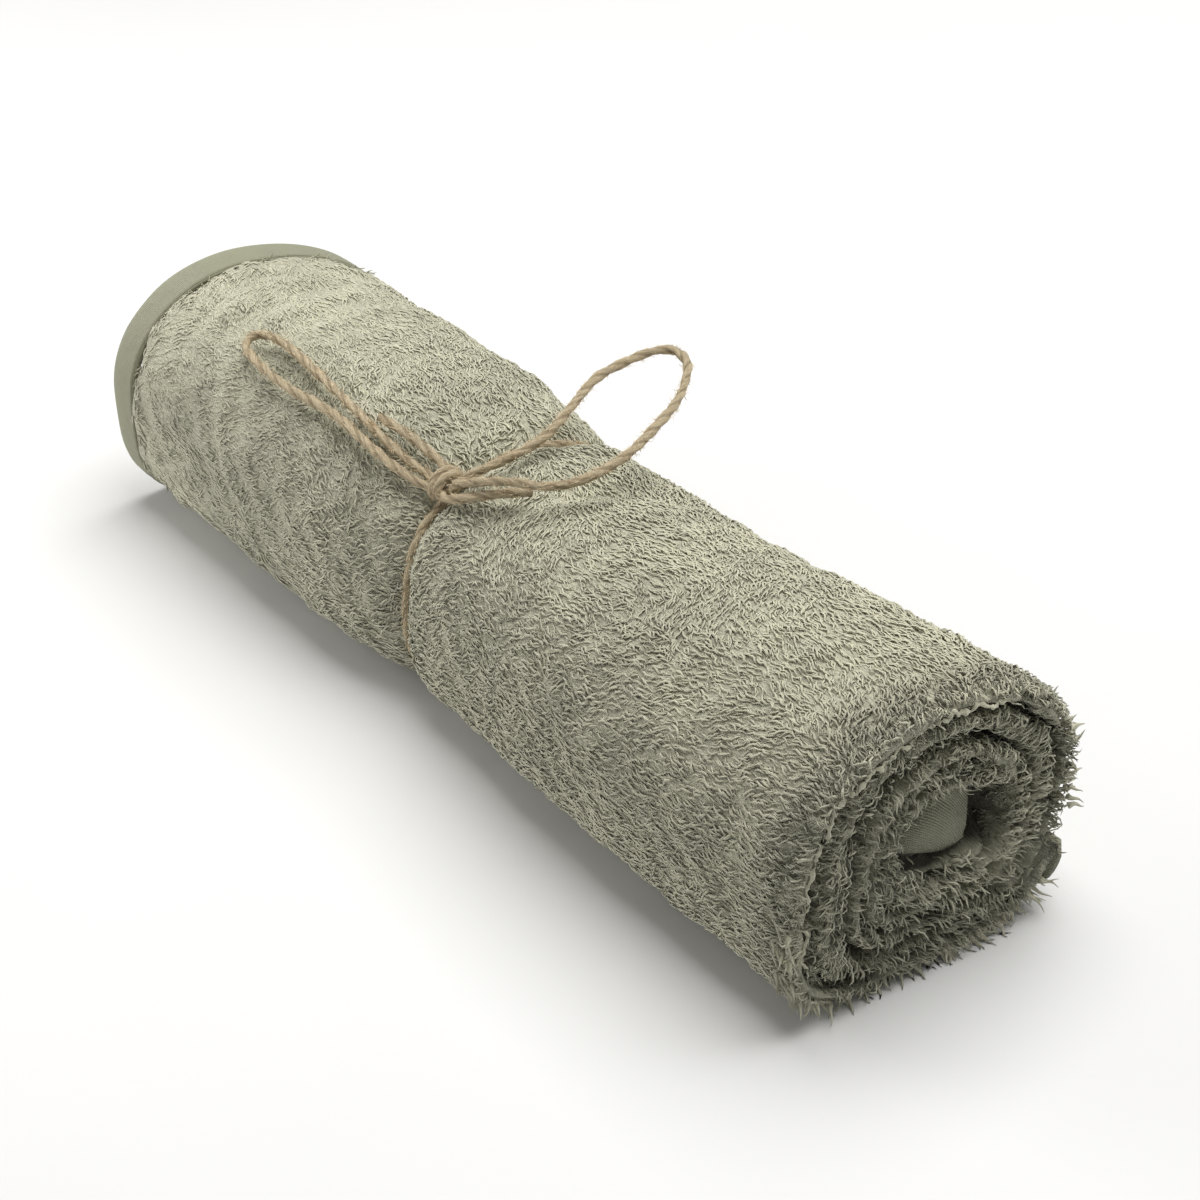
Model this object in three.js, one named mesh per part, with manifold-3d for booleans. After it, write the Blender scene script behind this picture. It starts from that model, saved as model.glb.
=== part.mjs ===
// Rolled bath towel, tied round its middle with a twine bow.
// Millimetres, +Z up. X runs along the roll, with the open wound end at +X.
// The origin is under the middle of the roll, on the surface that it rests on.

import * as THREE from "three";
import { mergeVertices } from "three/addons/utils/BufferGeometryUtils.js";
import Module from "manifold-3d";

const wasm = await Module();
wasm.setup();

// Driving dimensions of the roll
const ROLL_LENGTH = 370;
const NEAR_END = { halfWidth: 53, height: 88.5, cornerPower: 3.8 };
const FAR_END = { halfWidth: 55.5, height: 87.5, cornerPower: 3.3 };
const CROWN_POWER = 2.1;
const WIDEST_SHARE = 0.5;
const FLAT_SPOT_DEPTH = 0.6;

// Driving dimensions of the winding
const COLUMNS = 48;
const WOUND_TURNS = 3;
const LOOSE_END_ANGLE = -32;
const CORE = { y: 6, z: 46 };
const FULL_PITCH = 11;
const FLAP_EDGE = 4.2;
const FOLD_START = 5.2;
const SHOULDER = 1.8;

// The groove between two turns: how far round from the loose end, in degrees,
// and how far out from the core it lies, as a share of the way to the outline.
const GROOVE = [
  { around: 0, share: 0.885 },
  { around: 70, share: 0.76 },
  { around: 160, share: 0.66 },
  { around: 250, share: 0.62 },
  { around: 340, share: 0.58 },
  { around: 430, share: 0.52 },
  { around: 520, share: 0.48 },
  { around: 610, share: 0.38 },
  { around: 720, share: 0.32 },
  { around: 880, share: 0.25 },
  { around: 1080, share: 0.18 },
];

// How deep each line across one turn lies behind the end of the roll
const NEAR_RELIEF = { groove: 7.5, flap: 0, flapInside: 1.6, gap: 5, crown: 2.2, shoulder: 3.6 };
const FAR_RELIEF = { groove: 15, flap: 15, flapInside: 15, gap: 6.5, crown: 2, shoulder: 5 };
const RIM_ROUNDING = 1.6;
const CORE_HOLLOW = { y: 14, z: 46, halfWidth: 5.5, halfHeight: 8, depth: 32 };

// Driving dimensions of the binding at the far end
const BINDING = { width: 13.8, clearance: 0.8, thickness: 2.9, turns: 2.5, rounding: 0.9 };

// Driving dimensions of the twine and of the waist that it draws in
const TWINE_DIAMETER = 3.2;
const TWINE_GAP = 0.7;
const WAIST = { x: -12, depth: 6, farReach: 27, nearReach: 62, grooveDepth: 4.4, grooveReach: 5.4 };
const KNOT = { around: 130, rise: 5.2, along: 5.2, across: 4.8, up: 3.9, dimple: 2.4, dimpleReach: 9 };
const TWIST_PITCH = 13;
const TWIST_STEPS = 6;
const PLY_RELIEF = 0.16;

// A hollow along the back of the crown, beside the waist
const BACK_HOLLOW = { x: 64, along: 46, around: 48, spread: 42, depth: 5 };

const radians = THREE.MathUtils.degToRad;
const bell = (distance, reach) => Math.exp(-((distance / reach) ** 2));
const angleBetween = (a, b) => Math.abs(Math.atan2(Math.sin(a - b), Math.cos(a - b)));

// Shape of the roll

function groovePosition(around) {
  const next = GROOVE.findIndex((row) => row.around >= around);
  if (next <= 0) return GROOVE[0].share;
  const [a, b] = [GROOVE[next - 1], GROOVE[next]];
  return THREE.MathUtils.mapLinear(around, a.around, b.around, a.share, b.share);
}

// Distance from the middle of a section to its outline: a superellipse, rounder on top.
function outlineRadius(x, angle) {
  const along = x / ROLL_LENGTH + 0.5;
  const mix = (key) => THREE.MathUtils.lerp(FAR_END[key], NEAR_END[key], along);
  const halfHeight = mix("height") * WIDEST_SHARE;
  const power = Math.sin(angle) < 0 ? mix("cornerPower") : CROWN_POWER;
  const across = Math.abs(Math.cos(angle) / mix("halfWidth")) ** power;
  const up = Math.abs(Math.sin(angle) / halfHeight) ** power;
  return (across + up) ** (-1 / power);
}

function sectionMiddle(x) {
  return THREE.MathUtils.lerp(FAR_END.height, NEAR_END.height, x / ROLL_LENGTH + 0.5) * WIDEST_SHARE;
}

// Soft hollows and swellings of hand-rolled cloth, fading out under the roll.
function unevenness(x, angle) {
  const fade = THREE.MathUtils.smoothstep(Math.sin(angle), -0.7, 0.1);
  const long = Math.sin(x / 46 + 2 * angle) + 0.7 * Math.sin(x / 27 - 3 * angle + 1.3);
  const crease = -bell(x - 24 - 16 * Math.cos(angle), 7) * THREE.MathUtils.smoothstep(Math.sin(angle), 0.5, 0.9);
  const backHollow = bell(x - BACK_HOLLOW.x, BACK_HOLLOW.along)
    * bell(angleBetween(angle, radians(BACK_HOLLOW.around)), radians(BACK_HOLLOW.spread));
  return fade * (0.95 * long + 1.4 * crease) - BACK_HOLLOW.depth * backHollow;
}

// How far the twine draws the cloth in at a place on the outline.
function drawnIn(x, angle) {
  const upper = THREE.MathUtils.smoothstep(Math.sin(angle), -0.95, -0.35);
  const reach = x < WAIST.x ? WAIST.farReach : WAIST.nearReach;
  const waist = WAIST.depth * upper * bell(x - WAIST.x, reach);
  const groove = WAIST.grooveDepth * bell(x - WAIST.x, WAIST.grooveReach);
  const aside = angleBetween(angle, radians(KNOT.around)) * outlineRadius(x, angle);
  const knotDistance = Math.hypot(x - WAIST.x, aside);
  return waist + groove + KNOT.dimple * bell(knotDistance, KNOT.dimpleReach);
}

function outlinePoint(x, angle, raise = 0) {
  const radius = outlineRadius(x, angle) + unevenness(x, angle) - drawnIn(x, angle) + raise;
  const y = radius * Math.cos(angle);
  const z = sectionMiddle(x) + radius * Math.sin(angle) - FLAT_SPOT_DEPTH;
  return { y, z: raise > 0 ? z : Math.max(z, 0) };
}

// A place in the winding: column i goes round from the loose end, share goes out from the core.
function windingPoint(x, column, share) {
  const angle = radians(LOOSE_END_ANGLE - (360 * column) / COLUMNS);
  const rim = outlinePoint(x, angle);
  const y = THREE.MathUtils.lerp(CORE.y, rim.y, share);
  const z = THREE.MathUtils.lerp(CORE.z, rim.z, share);
  return { y, z, reach: Math.hypot(rim.y - CORE.y, rim.z - CORE.z) };
}

// The outer face of turn n at a column: the outline first, then the groove of the turn before.
function outerShare(turn, column) {
  const around = (360 * column) / COLUMNS;
  if (turn > 0) return groovePosition(around + 360 * (turn - 1));
  const step = THREE.MathUtils.smootherstep(around, 305, 360);
  return THREE.MathUtils.lerp(1, groovePosition(0), step);
}

// The lines across one turn, as distances in from its outer face.
const LINES = ["groove", "flap", "flapInside", "gap", "crown", "shoulder"];

function lineDistance(line, pitch) {
  const tight = Math.min(1, pitch / FULL_PITCH);
  const fold = FOLD_START * tight;
  const shoulder = pitch - SHOULDER * tight;
  return [0, tight, FLAP_EDGE * tight, fold, (fold + shoulder) / 2, shoulder][line];
}

function windingShare(row, column, reach) {
  const turn = Math.floor(row / LINES.length);
  const outer = outerShare(turn, column);
  const inner = groovePosition((360 * column) / COLUMNS + 360 * turn);
  return outer - lineDistance(row % LINES.length, (outer - inner) * reach) / reach;
}

function reliefDepth(relief, row, column) {
  const deep = relief[LINES[row % LINES.length]];
  if (row > 0) return deep;
  const rim = Math.max(RIM_ROUNDING, relief.flap);
  return THREE.MathUtils.lerp(rim, deep, THREE.MathUtils.smoothstep(column, COLUMNS * 0.85, COLUMNS));
}

// Closed solids from rings of points

class Skin {
  constructor() {
    this.points = [];
    this.faces = [];
  }
  add(x, y, z) {
    return this.points.push(x, y, z) / 3 - 1;
  }
  quad(a, b, c, d) {
    this.faces.push(a, b, c, a, c, d);
  }
  band(ringA, ringB) {
    ringA.forEach((point, i) => {
      const j = (i + 1) % ringA.length;
      this.quad(point, ringA[j], ringB[j], ringB[i]);
    });
  }
  fan(ring, centre) {
    ring.forEach((point, i) => this.faces.push(point, ring[(i + 1) % ring.length], centre));
  }
  geometry() {
    const geometry = new THREE.BufferGeometry();
    geometry.setAttribute("position", new THREE.Float32BufferAttribute(this.points, 3));
    geometry.setIndex(this.faces);
    return geometry;
  }
}

// The loop of one section: the outline round from the loose end, then its cut edge.
function sectionNodes() {
  const outline = Array.from({ length: COLUMNS + 1 }, (_, column) => ({ row: 0, column }));
  const edge = Array.from({ length: LINES.length - 1 }, (_, i) => ({ row: LINES.length - 1 - i, column: 0 }));
  return [...outline, ...edge];
}

function placeNode(skin, x, row, column) {
  const { reach } = windingPoint(x, column, 1);
  const { y, z } = windingPoint(x, column, windingShare(row, column, reach));
  return skin.add(x, y, z);
}

// One wound end: rows of quads that follow the spiral in to the core, then the hollow.
function addWoundEnd(skin, side, relief, rimRing) {
  const rows = WOUND_TURNS * LINES.length;
  const endX = (side * ROLL_LENGTH) / 2;
  const grid = new Map();
  const key = (row, column) => `${row}/${column}`;
  const node = (row, column) => {
    const seam = column === COLUMNS;
    const [r, c] = seam ? [row + LINES.length, 0] : [row, column];
    if (!grid.has(key(r, c))) {
      const x = endX - side * reliefDepth(relief, row, column);
      grid.set(key(r, c), placeNode(skin, x, row, column));
    }
    return grid.get(key(r, c));
  };
  sectionNodes().forEach(({ row, column }, i) => {
    const [r, c] = column === COLUMNS ? [row + LINES.length, 0] : [row, column];
    grid.set(key(r, c), rimRing[i]);
  });
  const quad = side > 0 ? (a, b, c, d) => skin.quad(a, b, c, d) : (a, b, c, d) => skin.quad(d, c, b, a);
  for (let row = 0; row < rows; row += 1) {
    for (let column = 0; column < COLUMNS; column += 1) {
      quad(node(row, column + 1), node(row, column), node(row + 1, column), node(row + 1, column + 1));
    }
  }
  const core = Array.from({ length: COLUMNS }, (_, column) => node(rows, column));
  for (let row = rows; row > rows - LINES.length; row -= 1) core.push(node(row, COLUMNS));
  addHollow(skin, side, endX, core);
}

// The hollow that the core leaves: a mouth, a wall and a floor.
function addHollow(skin, side, endX, core) {
  const ring = (depth, size) =>
    core.map((_, i) => {
      const angle = radians(LOOSE_END_ANGLE) - (2 * Math.PI * i) / core.length;
      const y = CORE_HOLLOW.y + size * CORE_HOLLOW.halfWidth * Math.cos(angle);
      const z = CORE_HOLLOW.z + size * CORE_HOLLOW.halfHeight * Math.sin(angle);
      return skin.add(endX - side * depth, y, z);
    });
  const mouth = ring(6, 1);
  const floor = ring(CORE_HOLLOW.depth, 0.7);
  const centre = skin.add(endX - side * CORE_HOLLOW.depth, CORE_HOLLOW.y, CORE_HOLLOW.z);
  const rings = [core, mouth, floor];
  const inward = side > 0 ? [1, 0] : [0, 1];
  [0, 1].forEach((i) => skin.band(rings[i + inward[0]], rings[i + inward[1]]));
  skin.fan(side > 0 ? [...floor].reverse() : floor, centre);
}

function axialStations() {
  const waist = [-46, -32, -22, -14, -9, -5.5, -2.8, 0, 2.8, 5.5, 9, 14, 22, 32, 46];
  const far = [-158, -140, -120, -100, -78];
  const near = [52, 72, 92, 112, 132, 150, 166, 177];
  return [...far, ...waist.map((offset) => WAIST.x + offset), ...near];
}

function towelRoll() {
  const skin = new Skin();
  const nodes = sectionNodes();
  const rimRing = (side, relief) =>
    nodes.map(({ row, column }) => {
      const x = side * (ROLL_LENGTH / 2 - reliefDepth(relief, row, column));
      return placeNode(skin, x, row, column);
    });
  const rings = [rimRing(-1, FAR_RELIEF)];
  axialStations().forEach((x) => rings.push(nodes.map(({ row, column }) => placeNode(skin, x, row, column))));
  rings.push(rimRing(1, NEAR_RELIEF));
  for (let i = 1; i < rings.length; i += 1) skin.band(rings[i], rings[i - 1]);
  addWoundEnd(skin, -1, FAR_RELIEF, rings[0]);
  addWoundEnd(skin, 1, NEAR_RELIEF, rings[rings.length - 1]);
  return skin.geometry();
}

// The smooth binding: a strip that stands in the far end's recess and winds in with the cloth.
function edgeBinding() {
  const skin = new Skin();
  const farX = -ROLL_LENGTH / 2;
  const profile = [
    { back: BINDING.width, deep: 0 },
    { back: 3, deep: 0 },
    { back: 0, deep: BINDING.rounding },
    { back: 0, deep: BINDING.thickness - BINDING.rounding },
    { back: 3, deep: BINDING.thickness },
    { back: BINDING.width, deep: BINDING.thickness },
  ];
  const columns = Math.round(BINDING.turns * COLUMNS);
  const rings = Array.from({ length: columns + 1 }, (_, step) => {
    const turn = Math.floor(step / COLUMNS);
    const column = step % COLUMNS;
    return profile.map(({ back, deep }) => {
      const x = farX + back;
      const { reach } = windingPoint(farX + FAR_RELIEF.groove, column, 1);
      const outer = outerShare(turn, column);
      const pitch = (outer - groovePosition((360 * step) / COLUMNS)) * reach;
      const inset = (BINDING.clearance + deep) * Math.min(1, pitch / FULL_PITCH);
      const { y, z } = windingPoint(farX + FAR_RELIEF.groove, column, outer - inset / reach);
      return skin.add(x, y, z);
    });
  });
  for (let i = 1; i < rings.length; i += 1) skin.band(rings[i], rings[i - 1]);
  const [first, last] = [rings[0], rings[rings.length - 1]];
  const cap = (ring) => {
    skin.quad(ring[0], ring[1], ring[4], ring[5]);
    skin.quad(ring[1], ring[2], ring[3], ring[4]);
  };
  cap(first);
  cap([...last].reverse());
  return skin.geometry();
}

// Twine

// Routes of the bow by hand, in millimetres, each from the knot outwards and back.
const LEFT_LOOP = [
  [-17, -27.4, 74.6], [-26, -30, 77.1], [-39, -31.2, 80.3], [-52, -31, 82.5], [-68, -29.8, 83.8],
  [-85, -28.4, 84.8], [-101, -27.4, 85.6], [-113, -27.8, 85.8], [-120, -30.6, 84.9], [-120.4, -34.2, 83.3],
  [-113, -36.8, 81.9], [-101, -37.6, 80.9], [-86, -37.4, 80.3], [-72, -36, 80.5], [-60, -35.2, 80.3],
  [-46, -35.8, 79.3], [-33, -35.2, 77.3], [-24, -33.8, 75.5], [-16.6, -31, 73.4],
];
const RIGHT_LOOP = [
  [-7.5, -24.5, 77], [-4.5, -19, 80.5], [-3.5, -9.5, 83], [-8, 4, 85.5], [-16, 22, 87.5], [-24, 39, 89],
  [-28, 54, 89.8], [-27, 64, 90], [-22, 68.5, 90], [-11, 67, 90], [-2, 60, 90], [9, 46.5, 90],
  [20, 30, 90], [28.5, 13.5, 90], [32, -1, 89.5], [32, -11, 89.4], [28, -17.5, 88.8], [20, -21, 87.8],
  [11, -24.5, 85.4], [2, -27, 81.6], [-5.8, -28, 77.4],
];
const LEFT_TAIL = [[-15.8, -23, 77], [-24, -24.6, 80.2], [-33, -26, 82.6], [-46, -28, 84]];
const RIGHT_TAIL = [[-7, -30.8, 73.6], [-1, -31, 75.8], [7, -27, 79.2], [14, -21.4, 81.6], [20, -16.6, 83]];

function curveThrough(points) {
  return new THREE.CatmullRomCurve3(points.map((p) => new THREE.Vector3(...p)), false, "centripetal");
}

function sectionShape(radius, lobe) {
  const shape = new THREE.Shape();
  const sides = 8;
  for (let i = 0; i < sides; i += 1) {
    const angle = (2 * Math.PI * i) / sides;
    const r = radius * (1 + lobe * Math.cos(2 * angle));
    const draw = i === 0 ? "moveTo" : "lineTo";
    shape[draw](r * Math.cos(angle), r * Math.sin(angle));
  }
  shape.closePath();
  return shape;
}

function plainTube(curve, steps, radius = TWINE_DIAMETER / 2) {
  const options = { steps, extrudePath: curve, bevelEnabled: false };
  return new THREE.ExtrudeGeometry(sectionShape(radius, 0), options);
}

// Two-ply twine: a section with two lobes that turns as it runs along its route.
function twistedTube(curve) {
  const length = curve.getLength();
  const steps = Math.round((length / TWIST_PITCH) * TWIST_STEPS);
  const frames = curve.computeFrenetFrames(steps, false);
  const outline = sectionShape(TWINE_DIAMETER / 2, PLY_RELIEF).getPoints().slice(0, 8);
  const skin = new Skin();
  const rings = Array.from({ length: steps + 1 }, (_, i) => {
    const centre = curve.getPointAt(i / steps);
    const turn = (2 * Math.PI * i) / TWIST_STEPS;
    return outline.map((corner) => {
      const side = corner.clone().rotateAround(new THREE.Vector2(), turn);
      const point = centre.clone();
      point.addScaledVector(frames.normals[i], side.x);
      point.addScaledVector(frames.binormals[i], side.y);
      return skin.add(point.x, point.y, point.z);
    });
  });
  for (let i = 1; i < rings.length; i += 1) skin.band(rings[i - 1], rings[i]);
  const capCentre = (at) => skin.add(...curve.getPointAt(at).toArray());
  skin.fan([...rings[0]].reverse(), capCentre(0));
  skin.fan(rings[steps], capCentre(1));
  return skin.geometry();
}

// The ring of twine: it lies in the groove round the waist and stops at both sides of the knot.
class WaistRing extends THREE.Curve {
  getPoint(t, target = new THREE.Vector3()) {
    const halfGap = KNOT.across + TWINE_GAP + 0.6;
    const gapTurn = (halfGap / outlineRadius(WAIST.x, radians(KNOT.around))) * (180 / Math.PI);
    const angle = radians(KNOT.around + gapTurn + t * (360 - 2 * gapTurn));
    const lift = TWINE_DIAMETER / 2 + TWINE_GAP;
    const { y, z } = outlinePoint(WAIST.x, angle, lift);
    return target.set(WAIST.x, y, Math.max(z, TWINE_DIAMETER / 2 + 0.15));
  }
}

function knotCentre() {
  const { y, z } = outlinePoint(WAIST.x, radians(KNOT.around), KNOT.rise);
  return new THREE.Vector3(WAIST.x, y, z);
}

function toManifold(geometry) {
  const bare = geometry.clone();
  bare.deleteAttribute("normal");
  bare.deleteAttribute("uv");
  const merged = mergeVertices(bare, 1e-4);
  const vertProperties = new Float32Array(merged.attributes.position.array);
  const triVerts = new Uint32Array(merged.index.array);
  return new wasm.Manifold(new wasm.Mesh({ numProp: 3, vertProperties, triVerts }));
}

function fromManifold(solid) {
  const mesh = solid.getMesh();
  const geometry = new THREE.BufferGeometry();
  geometry.setAttribute("position", new THREE.BufferAttribute(new Float32Array(mesh.vertProperties), 3));
  geometry.setIndex(new THREE.BufferAttribute(new Uint32Array(mesh.triVerts), 1));
  return geometry;
}

// The bow's knot: a rounded heart with two wraps of twine over it.
function bowKnot() {
  const centre = knotCentre();
  const heart = new THREE.SphereGeometry(1, 14, 10);
  heart.scale(KNOT.along - 0.9, KNOT.across - 0.9, KNOT.up - 0.4);
  const wrap = (lean, shift) => {
    const points = [-100, -60, -20, 20, 60, 100].map((degrees) => {
      const angle = radians(degrees);
      const across = (KNOT.across - 1.4) * Math.sin(angle);
      const up = (KNOT.up - 1.2) * Math.cos(angle);
      return [shift + lean * across, across, up];
    });
    return plainTube(curveThrough(points), 10, 1.45);
  };
  const solid = toManifold(heart).add(toManifold(wrap(0.35, -1.5))).add(toManifold(wrap(-0.5, 1.7)));
  const tilt = radians(90 - KNOT.around);
  return fromManifold(solid).rotateX(-tilt).translate(centre.x, centre.y, centre.z);
}

// Materials

const pile = new THREE.MeshStandardMaterial({ color: 0x9f9d88, roughness: 1 });
const smoothCloth = new THREE.MeshStandardMaterial({ color: 0xa09e86, roughness: 0.8 });
const jute = new THREE.MeshStandardMaterial({ color: 0xc2a982, roughness: 0.9 });

function part(name, geometry, material) {
  const mesh = new THREE.Mesh(geometry, material.clone());
  mesh.name = name;
  return mesh;
}

const towel = new THREE.Group();
towel.add(part("towel_roll", towelRoll(), pile));
towel.add(part("edge_binding", edgeBinding(), smoothCloth));

const tie = new THREE.Group();
tie.add(part("tie_ring", plainTube(new WaistRing(), 60), jute));
tie.add(part("tie_knot", bowKnot(), jute));
tie.add(part("tie_loop_left", twistedTube(curveThrough(LEFT_LOOP)), jute));
tie.add(part("tie_loop_right", twistedTube(curveThrough(RIGHT_LOOP)), jute));
tie.add(part("tie_tail_left", twistedTube(curveThrough(LEFT_TAIL)), jute));
tie.add(part("tie_tail_right", twistedTube(curveThrough(RIGHT_TAIL)), jute));

const group = new THREE.Group();
group.add(towel, tie);

export default group;
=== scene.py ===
"""A rolled terry bath towel tied round its middle with a jute twine bow.

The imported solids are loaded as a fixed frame. The cloth, its pile, its smooth binding and hems
and the twine are new surfaces, worked out with numpy. Sizes inside the classes are in
millimetres, and meshes are written in metres.
"""

import logging
from dataclasses import dataclass
from enum import Enum

import bpy
import numpy as np
from mathutils import Matrix


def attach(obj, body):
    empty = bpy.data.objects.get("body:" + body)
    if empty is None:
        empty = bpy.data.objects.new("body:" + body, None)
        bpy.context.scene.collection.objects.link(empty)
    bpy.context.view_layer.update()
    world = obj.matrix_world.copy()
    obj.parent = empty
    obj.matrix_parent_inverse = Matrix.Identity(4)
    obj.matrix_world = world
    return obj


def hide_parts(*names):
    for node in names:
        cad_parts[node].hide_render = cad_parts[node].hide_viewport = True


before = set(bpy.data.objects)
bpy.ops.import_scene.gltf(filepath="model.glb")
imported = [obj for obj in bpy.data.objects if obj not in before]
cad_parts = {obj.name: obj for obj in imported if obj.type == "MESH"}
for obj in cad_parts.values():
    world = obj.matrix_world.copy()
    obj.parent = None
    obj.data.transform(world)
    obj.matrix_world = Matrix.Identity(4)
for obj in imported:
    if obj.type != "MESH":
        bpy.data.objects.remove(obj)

Array = np.ndarray
Socket = bpy.types.NodeSocket
Material = bpy.types.Material

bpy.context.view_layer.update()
MILLIMETRE = 0.001
BODY = "root"
FLOOR = 0.3
DRIFT_WAVES = 6
SPAN_STEPS = 24
LOCKS_AT_ONCE = 500

logging.basicConfig(level=logging.INFO, format="%(message)s")
log = logging.getLogger("towel")


class Slot(Enum):
    """The record's material slots."""

    PILE = "terry_pile"
    SMOOTH = "smooth_binding"
    TWINE = "jute_twine"


class End(Enum):
    """The two wound ends of the roll, as the sign of X."""

    FAR = -1
    NEAR = 1


# Small shapes that the surfaces are made of


def bell(distance: Array, reach: float | Array) -> Array:
    """A bump of height 1: e to the minus square of distance over reach."""
    return np.exp(-((distance / reach) ** 2))


def smoothstep(value: Array, low: float, high: float) -> Array:
    """A smooth step from 0 at low to 1 at high: three t squared less two t cubed."""
    t = np.clip((value - low) / (high - low), 0, 1)
    return t * t * (3 - 2 * t)


def angle_between(a: Array, b: float) -> Array:
    """The unsigned angle from a to b, at most half a turn."""
    return np.abs(np.arctan2(np.sin(a - b), np.cos(a - b)))


def unit(vectors: Array) -> Array:
    """Each vector divided by its length."""
    return vectors / np.maximum(np.linalg.norm(vectors, axis=-1, keepdims=True), 1e-12)


def outwards(angle: Array) -> Array:
    """Directions in the roll's section, from +Y towards +Z."""
    return np.stack([np.zeros_like(angle), np.cos(angle), np.sin(angle)], axis=-1)


def circle(sides: int) -> Array:
    """Even angles once round."""
    return np.linspace(0, 2 * np.pi, sides, endpoint=False)


def drift(points: Array, wavelength: float, seed: int) -> Array:
    """A smooth wandering value: a sum of sines along seeded directions.

    Args:
        points: places in millimetres.
        wavelength: the usual distance between crests.
        seed: picks the directions, paces and phases.

    Returns:
        One value for each place, mostly between -1 and 1.
    """
    draw = np.random.default_rng(seed)
    directions = unit(draw.normal(size=(DRIFT_WAVES, 3)))
    pace = 2 * np.pi / (wavelength * draw.uniform(0.7, 1.5, DRIFT_WAVES))
    phase = draw.uniform(0, 2 * np.pi, DRIFT_WAVES)
    return np.sin(points @ (directions * pace[:, None]).T + phase).sum(axis=-1) / np.sqrt(DRIFT_WAVES)


def lengths_along(points: Array) -> Array:
    """How far along a line each of its points lies."""
    return np.concatenate([[0], np.cumsum(np.linalg.norm(np.diff(points, axis=0), axis=1))])


def smooth_path(points: Array, spacing: float) -> Array:
    """A curve through all points, resampled evenly.

    Each span is a cubic. A point's slope is that of the steps before and after it, each weighed
    by the other's length, where lengths count as square roots so that short steps stay round.

    Args:
        points: the places that it passes.
        spacing: the distance between the places returned.

    Returns:
        The places along the curve.
    """
    steps = np.diff(points, axis=0)
    pace = np.sqrt(np.linalg.norm(steps, axis=1))[:, None]
    slope = steps / pace
    inner = (slope[:-1] * pace[1:] + slope[1:] * pace[:-1]) / (pace[:-1] + pace[1:])
    slopes = np.vstack([slope[:1], inner, slope[-1:]])
    t = np.linspace(0, 1, SPAN_STEPS, endpoint=False)[None, :, None]
    m, n = (slopes[:-1] * pace)[:, None], (slopes[1:] * pace)[:, None]
    fine = (2 * t**3 - 3 * t**2 + 1) * points[:-1, None] + (t**3 - 2 * t**2 + t) * m
    fine = fine + (3 * t**2 - 2 * t**3) * points[1:, None] + (t**3 - t**2) * n
    fine = np.vstack([fine.reshape(-1, 3), points[-1:]])
    run = lengths_along(fine)
    places = np.linspace(0, run[-1], max(2, int(round(run[-1] / spacing))) + 1)
    return np.stack([np.interp(places, run, fine[:, k]) for k in range(3)], axis=1)


def across_lines(lines: Array, reference: object) -> tuple:
    """Two directions across each line: one level to the reference, and one across both.

    Args:
        lines: places along the lines.
        reference: a direction, or one for each line.

    Returns:
        The two directions at each place.
    """
    ahead = unit(np.gradient(lines, axis=-2))
    side = unit(np.cross(ahead, reference))
    return side, np.cross(side, ahead)


def carried(lines: Array, side: Array, up: Array, a: Array, b: Array) -> Array:
    """Sections carried along lines: each place, plus a times side, plus b times up."""
    return lines[..., None, :] + side[..., None, :] * a[..., None] + up[..., None, :] * b[..., None]


# Meshes


def triangles_of(faces: Array) -> Array:
    """Faces of four corners cut in two, and faces of three kept."""
    return faces if faces.shape[1] == 3 else np.vstack([faces[:, [0, 1, 2]], faces[:, [0, 2, 3]]])


def grid_faces(rows: int, columns: int, around: bool = False, flip: bool = False) -> Array:
    """The faces between neighbouring points of a grid.

    Args:
        rows: how many rows of points.
        columns: how many points in a row.
        around: whether each row's last point joins its first.
        flip: whether the faces are turned over.

    Returns:
        Point numbers, four for each face.
    """
    r = np.arange(rows - 1)[:, None]
    c = np.arange(columns if around else columns - 1)[None, :]
    d = (c + 1) % columns
    quads = [r * columns + c, r * columns + d, (r + 1) * columns + d, (r + 1) * columns + c]
    faces = np.stack(np.broadcast_arrays(*quads), axis=-1).reshape(-1, 4)
    return faces[:, ::-1] if flip else faces


def tube_faces(rows: int, columns: int, flip: bool = False) -> Array:
    """A tube's wall, and a fan at each end onto one of two points that follow its rings.

    Args:
        rows: how many rings.
        columns: how many points in a ring.
        flip: whether the faces are turned over.

    Returns:
        Point numbers, three for each face.
    """
    loop = np.arange(columns)
    after = (loop + 1) % columns
    first = np.stack([after, loop, np.full(columns, rows * columns)], axis=1)
    last = np.stack([loop, after, loop], axis=1) + (rows - 1) * columns
    last[:, 2] = rows * columns + 1
    fans = np.vstack([first, last])
    wall = triangles_of(grid_faces(rows, columns, around=True, flip=flip))
    return np.vstack([wall, fans[:, ::-1] if flip else fans])


def spike_faces(rings: int) -> Array:
    """A three-sided spike: walls between its rings, a fan onto its tip, and its closed root.

    Args:
        rings: how many rings it has below its tip.

    Returns:
        Point numbers, three for each face.
    """
    last, tip = 3 * (rings - 1), 3 * rings
    fan = [[last, last + 1, tip], [last + 1, last + 2, tip], [last + 2, last, tip]]
    walls = triangles_of(grid_faces(rings, 3, around=True))
    return np.vstack([walls, fan, [[2, 1, 0]]])[:, ::-1]


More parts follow.
